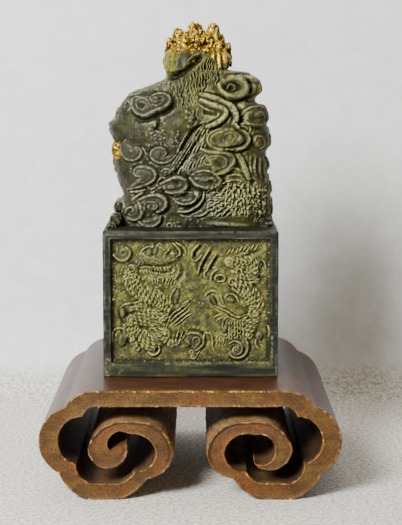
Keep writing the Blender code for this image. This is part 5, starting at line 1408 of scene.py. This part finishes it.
ground = n.mix(n.attribute("plain"), ground, plain_tone)
bare = n.mix(n.attribute("ochre"), (0.30, 0.30, 0.185), (0.35, 0.345, 0.125))
rubbed = n.math('MULTIPLY', n.attribute("worn"), n.ramp(n.noise(spot, 1.1, 3.0), 0.3, 0.6))
patina = use_tint(tree, Ground=ground, Deep=(0.006, 0.005, 0.002), Bare=bare,
                  Cavity=n.attribute("cavity"), Worn=rubbed, Pitch=0.7)
leaf = n.mix(n.ramp(n.noise(spot, 4.0, 3.0), 0.42, 0.62), (0.15, 0.078, 0.007), (0.42, 0.25, 0.020))
# Bright gold specks over the gilding: painted glints.
leaf = n.mix(n.ramp(n.noise(spot, 0.9, 3.0), 0.54, 0.64), leaf, (0.90, 0.64, 0.10))
leaf = n.mix(n.ramp(n.noise(spot, 1.2, 3.0), 0.47, 0.38), leaf, (0.060, 0.028, 0.003))
gold = use_tint(tree, Ground=leaf, Deep=(0.022, 0.009, 0.001), Bare=(0.86, 0.63, 0.11),
                Cavity=n.attribute("cavity"), Worn=n.attribute("worn"), Pitch=0.9)
gilt = n.ramp(n.math('ADD', n.attribute("gilt"), n.math('MULTIPLY_ADD', middling, 0.5, -0.25)),
              0.35, 0.75)
n.link(n.mix(gilt, patina.outputs["Color"], gold.outputs["Color"]), shader.inputs["Base Color"])
n.link(n.math('MULTIPLY_ADD', gilt, 0.75, 0.08), shader.inputs["Metallic"])
n.link(n.math('MULTIPLY_ADD', patina.outputs["Broken"], 0.3, 0.36), shader.inputs["Roughness"])
shader.inputs["Specular IOR Level"].default_value = 0.12
skin = n.math('ADD', n.noise(spot, 0.45, 5.0, 0.65), n.math('MULTIPLY', middling, 0.8))
n.link(n.bump(skin, 0.45, 0.16), shader.inputs["Normal"])
for piece in (block, finial, crest, pearl, lumps):
    piece.data.materials.append(bronze)
print("material", bronze.name)

# %% [markdown]
# ## Wood
#
# The stand is varnished red-brown on its skin, where it mirrors the pale room at a low angle. Its
# cut ends are bare of gloss, golden brown, flecked with dark pores and stained orange near the
# edges; a dark band of painted shade runs along their outer line, and painted glints sit on their
# rims. The inner faces are painted dark as shade. The tops of the rolls are dull, and painted paler
# as painted light where the board shades them. The grain runs from side to side.

# %% The carved wood
wood, tree, shader = new_material("carved_wood")
n = Nodes(tree)
spot, grain_spot = n.place(), n.place((9, 5, 0.9))
is_cut, inside = n.attribute("cut"), n.attribute("inside")
grain, wide = n.noise(grain_spot, 1.0, 5.0, 0.6), n.noise(spot, 12.0, 3.0)
lines = n.noise(n.place((30, 2.4, 0.5)), 1.0, 3.0)
skin_tone = n.mix(n.ramp(grain, 0.35, 0.7), (0.034, 0.010, 0.004), (0.075, 0.024, 0.009))
skin_tone = n.mix(n.ramp(wide, 0.4, 0.7), skin_tone, (0.050, 0.018, 0.008))
# The roll tops get a much paler tone: painted light where the board shades them, besides their dull
# finish.
painted_light_roll_tone = n.mix(n.ramp(grain, 0.35, 0.7), (0.110, 0.055, 0.021), (0.33, 0.180, 0.072))
skin_tone = n.mix(n.attribute("rolled"), skin_tone, painted_light_roll_tone)
# The inner faces darkened: painted shade.
skin_tone = n.stain(skin_tone, inside, 0.7, (0.030, 0.015, 0.006))
fleck, band = n.noise(spot, 0.42, 3.0, 0.75), n.noise(n.place((3.2, 3, 1.4)), 2.6, 4.0)
cut_tone = n.mix(n.ramp(band, 0.38, 0.66), (0.054, 0.023, 0.004), (0.108, 0.056, 0.008))
cut_tone = n.mix(n.ramp(n.noise(spot, 8.0, 3.0), 0.46, 0.62), cut_tone, (0.110, 0.036, 0.006))
cut_tone = n.stain(cut_tone, n.ramp(fleck, 0.48, 0.62), 0.85, (0.030, 0.011, 0.004))
light_fleck = n.ramp(n.noise(spot, 0.34, 2.0), 0.54, 0.66)
cut_tone = n.stain(cut_tone, light_fleck, 0.42, (0.20, 0.120, 0.034))
# The outer band and the lip's groove darkened: painted shade.
cut_tone = n.mix(n.attribute("contour"), cut_tone, (0.026, 0.010, 0.004))
tone = n.mix(is_cut, skin_tone, cut_tone)
chafed = n.math('MULTIPLY', n.attribute("rim"), n.ramp(n.noise(spot, 2.2, 4.0), 0.40, 0.62))
# Through the cavity input the inner faces are darkened further: painted shade.
worn_wood = use_tint(tree, Ground=tone, Deep=(0.02, 0.007, 0.003), Bare=(0.26, 0.120, 0.032),
                     Cavity=n.math('MULTIPLY', inside, 0.35), Worn=chafed, Pitch=1.6)
# Thin gold-orange specks along the rims of the cut faces: painted glints.
painted_glint = n.math('MULTIPLY', n.attribute("rim"), n.ramp(n.noise(spot, 1.3, 3.0), 0.58, 0.66))
n.link(n.mix(painted_glint, worn_wood.outputs["Color"], (0.66, 0.40, 0.14)), shader.inputs["Base Color"])
matt = n.math('MAXIMUM', inside, n.attribute("rolled"))
gloss = n.math('SUBTRACT', 1.0, n.math('MAXIMUM', is_cut, matt))
rough = n.math('MULTIPLY_ADD', gloss, -0.25, 0.6)
n.link(n.math('MULTIPLY_ADD', grain, 0.12, rough), shader.inputs["Roughness"])
n.link(n.math('MULTIPLY', gloss, 0.12), shader.inputs["Coat Weight"])
shader.inputs["Coat Roughness"].default_value = 0.28
shader.inputs["Specular IOR Level"].default_value = 0.22
relief = n.math('ADD', n.math('MULTIPLY', lines, 0.5), n.math('MULTIPLY', fleck, is_cut))
n.link(n.bump(relief, 0.5, 0.22), shader.inputs["Normal"])
stand.data.materials.append(wood)
print("material", wood.name)

# %% [markdown]
# ## The room
#
# A pale floor turns up into a pale wall a hand's breadth behind the stand. One soft lamp stands at
# the upper left, so the shadow falls to the right. A weak warm lamp hangs above, and two narrow
# ones beside the camera reach in under the board.

# %% Floor, lights and camera
REACH, WALL_FOOT, WALL_ROUND = 900.0, 80.0, 28.0
turn = np.linspace(0, math.pi / 2, 16)
bend = np.column_stack((WALL_FOOT + WALL_ROUND * np.sin(turn), WALL_ROUND - WALL_ROUND * np.cos(turn)))
profile = np.vstack(([(-REACH, 0.0)], [(WALL_FOOT, 0.0)], bend[1:], [(WALL_FOOT + WALL_ROUND, REACH)]))
across = np.linspace(-REACH, REACH, 2)
floor = np.stack((np.broadcast_to(across[None, :], (len(profile), 2)),
                  np.broadcast_to(profile[:, :1], (len(profile), 2)),
                  np.broadcast_to(profile[:, 1:], (len(profile), 2))), axis=-1)
index = np.arange(len(profile) * 2).reshape(-1, 2)
backdrop = surface_object("backdrop", floor, np.stack((index[:-1, 0], index[:-1, 1], index[1:, 1],
                                                       index[1:, 0]), axis=-1))
corners = np.array([(-REACH, WALL_FOOT, -0.02), (REACH, WALL_FOOT, -0.02), (REACH, REACH, -0.02),
                    (-REACH, REACH, -0.02)])
far_floor = surface_object("far_floor", corners, np.array([(0, 1, 2, 3)]))
paper, tree, shader = new_material("pale_paper")
n = Nodes(tree)
spot = n.place()
height_up = tree.nodes.new("ShaderNodeSeparateXYZ")
tree.links.new(spot, height_up.inputs[0])
speckle = n.ramp(n.noise(spot, 1.3, 4.0, 0.75), 0.40, 0.58)
on_floor = n.ramp(height_up.outputs[2], 14.0, 4.0)
floor_tone = n.mix(speckle, (0.40, 0.375, 0.32), (0.80, 0.765, 0.69))
clouded = n.ramp(n.noise(spot, 7.0, 5.0, 0.7), 0.3, 0.7)
wall_tone = n.mix(clouded, (0.72, 0.74, 0.74), (0.82, 0.84, 0.84))
n.link(n.mix(on_floor, wall_tone, floor_tone), shader.inputs["Base Color"])
shader.inputs["Roughness"].default_value = 0.9
backdrop.data.materials.append(paper)
far_floor.data.materials.append(paper)
facing = tree.nodes.new("ShaderNodeNewGeometry")
clear, chosen = tree.nodes.new("ShaderNodeBsdfTransparent"), tree.nodes.new("ShaderNodeMixShader")
for source, socket in ((facing.outputs["Backfacing"], chosen.inputs[0]),
                       (shader.outputs[0], chosen.inputs[1]), (clear.outputs[0], chosen.inputs[2]),
                       (chosen.outputs[0], tree.nodes["Material Output"].inputs["Surface"])):
    tree.links.new(source, socket)


def area_light(name, place, aim, size, power, colour=(1, 1, 1)):
    """A square lamp of some size in metres, turned from its place towards its aim."""
    light = bpy.data.lights.new(name, 'AREA')
    light.size, light.energy, light.color = size, power, colour
    item = bpy.data.objects.new(name, light)
    item.location = Vector(place) * MM
    item.rotation_euler = (Vector(aim) - Vector(place)).to_track_quat('-Z', 'Y').to_euler()
    bpy.context.scene.collection.objects.link(item)
    return item


area_light("key", (-330, -520, 430), (0, 0, 60), 0.23, 13.2, (0.97, 0.99, 1.0))
area_light("top", (-120, 20, 640), (0, 0, 60), 0.40, 1.3, (1.0, 0.84, 0.66))

for side in (-1, 1):
    low = bpy.data.lights.new("low_lamp", 'SPOT')
    low.energy, low.spot_size, low.spot_blend, low.shadow_soft_size = 2.4, math.radians(6.2), 0.6, 0.02
    item = bpy.data.objects.new("low_lamp", low)
    item.location = Vector((side * 40, -430, 72)) * MM
    item.rotation_euler = Vector((side * -15, 390, -52)).to_track_quat('-Z', 'Y').to_euler()
    bpy.context.scene.collection.objects.link(item)

world = bpy.data.worlds.new("pale_room")
world.use_nodes = True
world.node_tree.nodes["Background"].inputs["Color"].default_value = (1.0, 0.77, 0.54, 1.0)
world.node_tree.nodes["Background"].inputs["Strength"].default_value = 0.085
bpy.context.scene.world = world

FOCAL_PX, PHOTO_HEIGHT_PX, LOOKS_DOWN = 1427.98, 525, 0.1433
camera = bpy.data.cameras.new("camera")
camera.sensor_width = 36.0
camera.lens = FOCAL_PX * camera.sensor_width / PHOTO_HEIGHT_PX
camera.clip_start = 0.01
viewer = bpy.data.objects.new("camera", camera)
viewer.location = Vector(EYE) * MM
viewer.rotation_euler = (math.pi / 2 - LOOKS_DOWN, 0.0, 0.0)
bpy.context.scene.collection.objects.link(viewer)
bpy.context.scene.camera = viewer
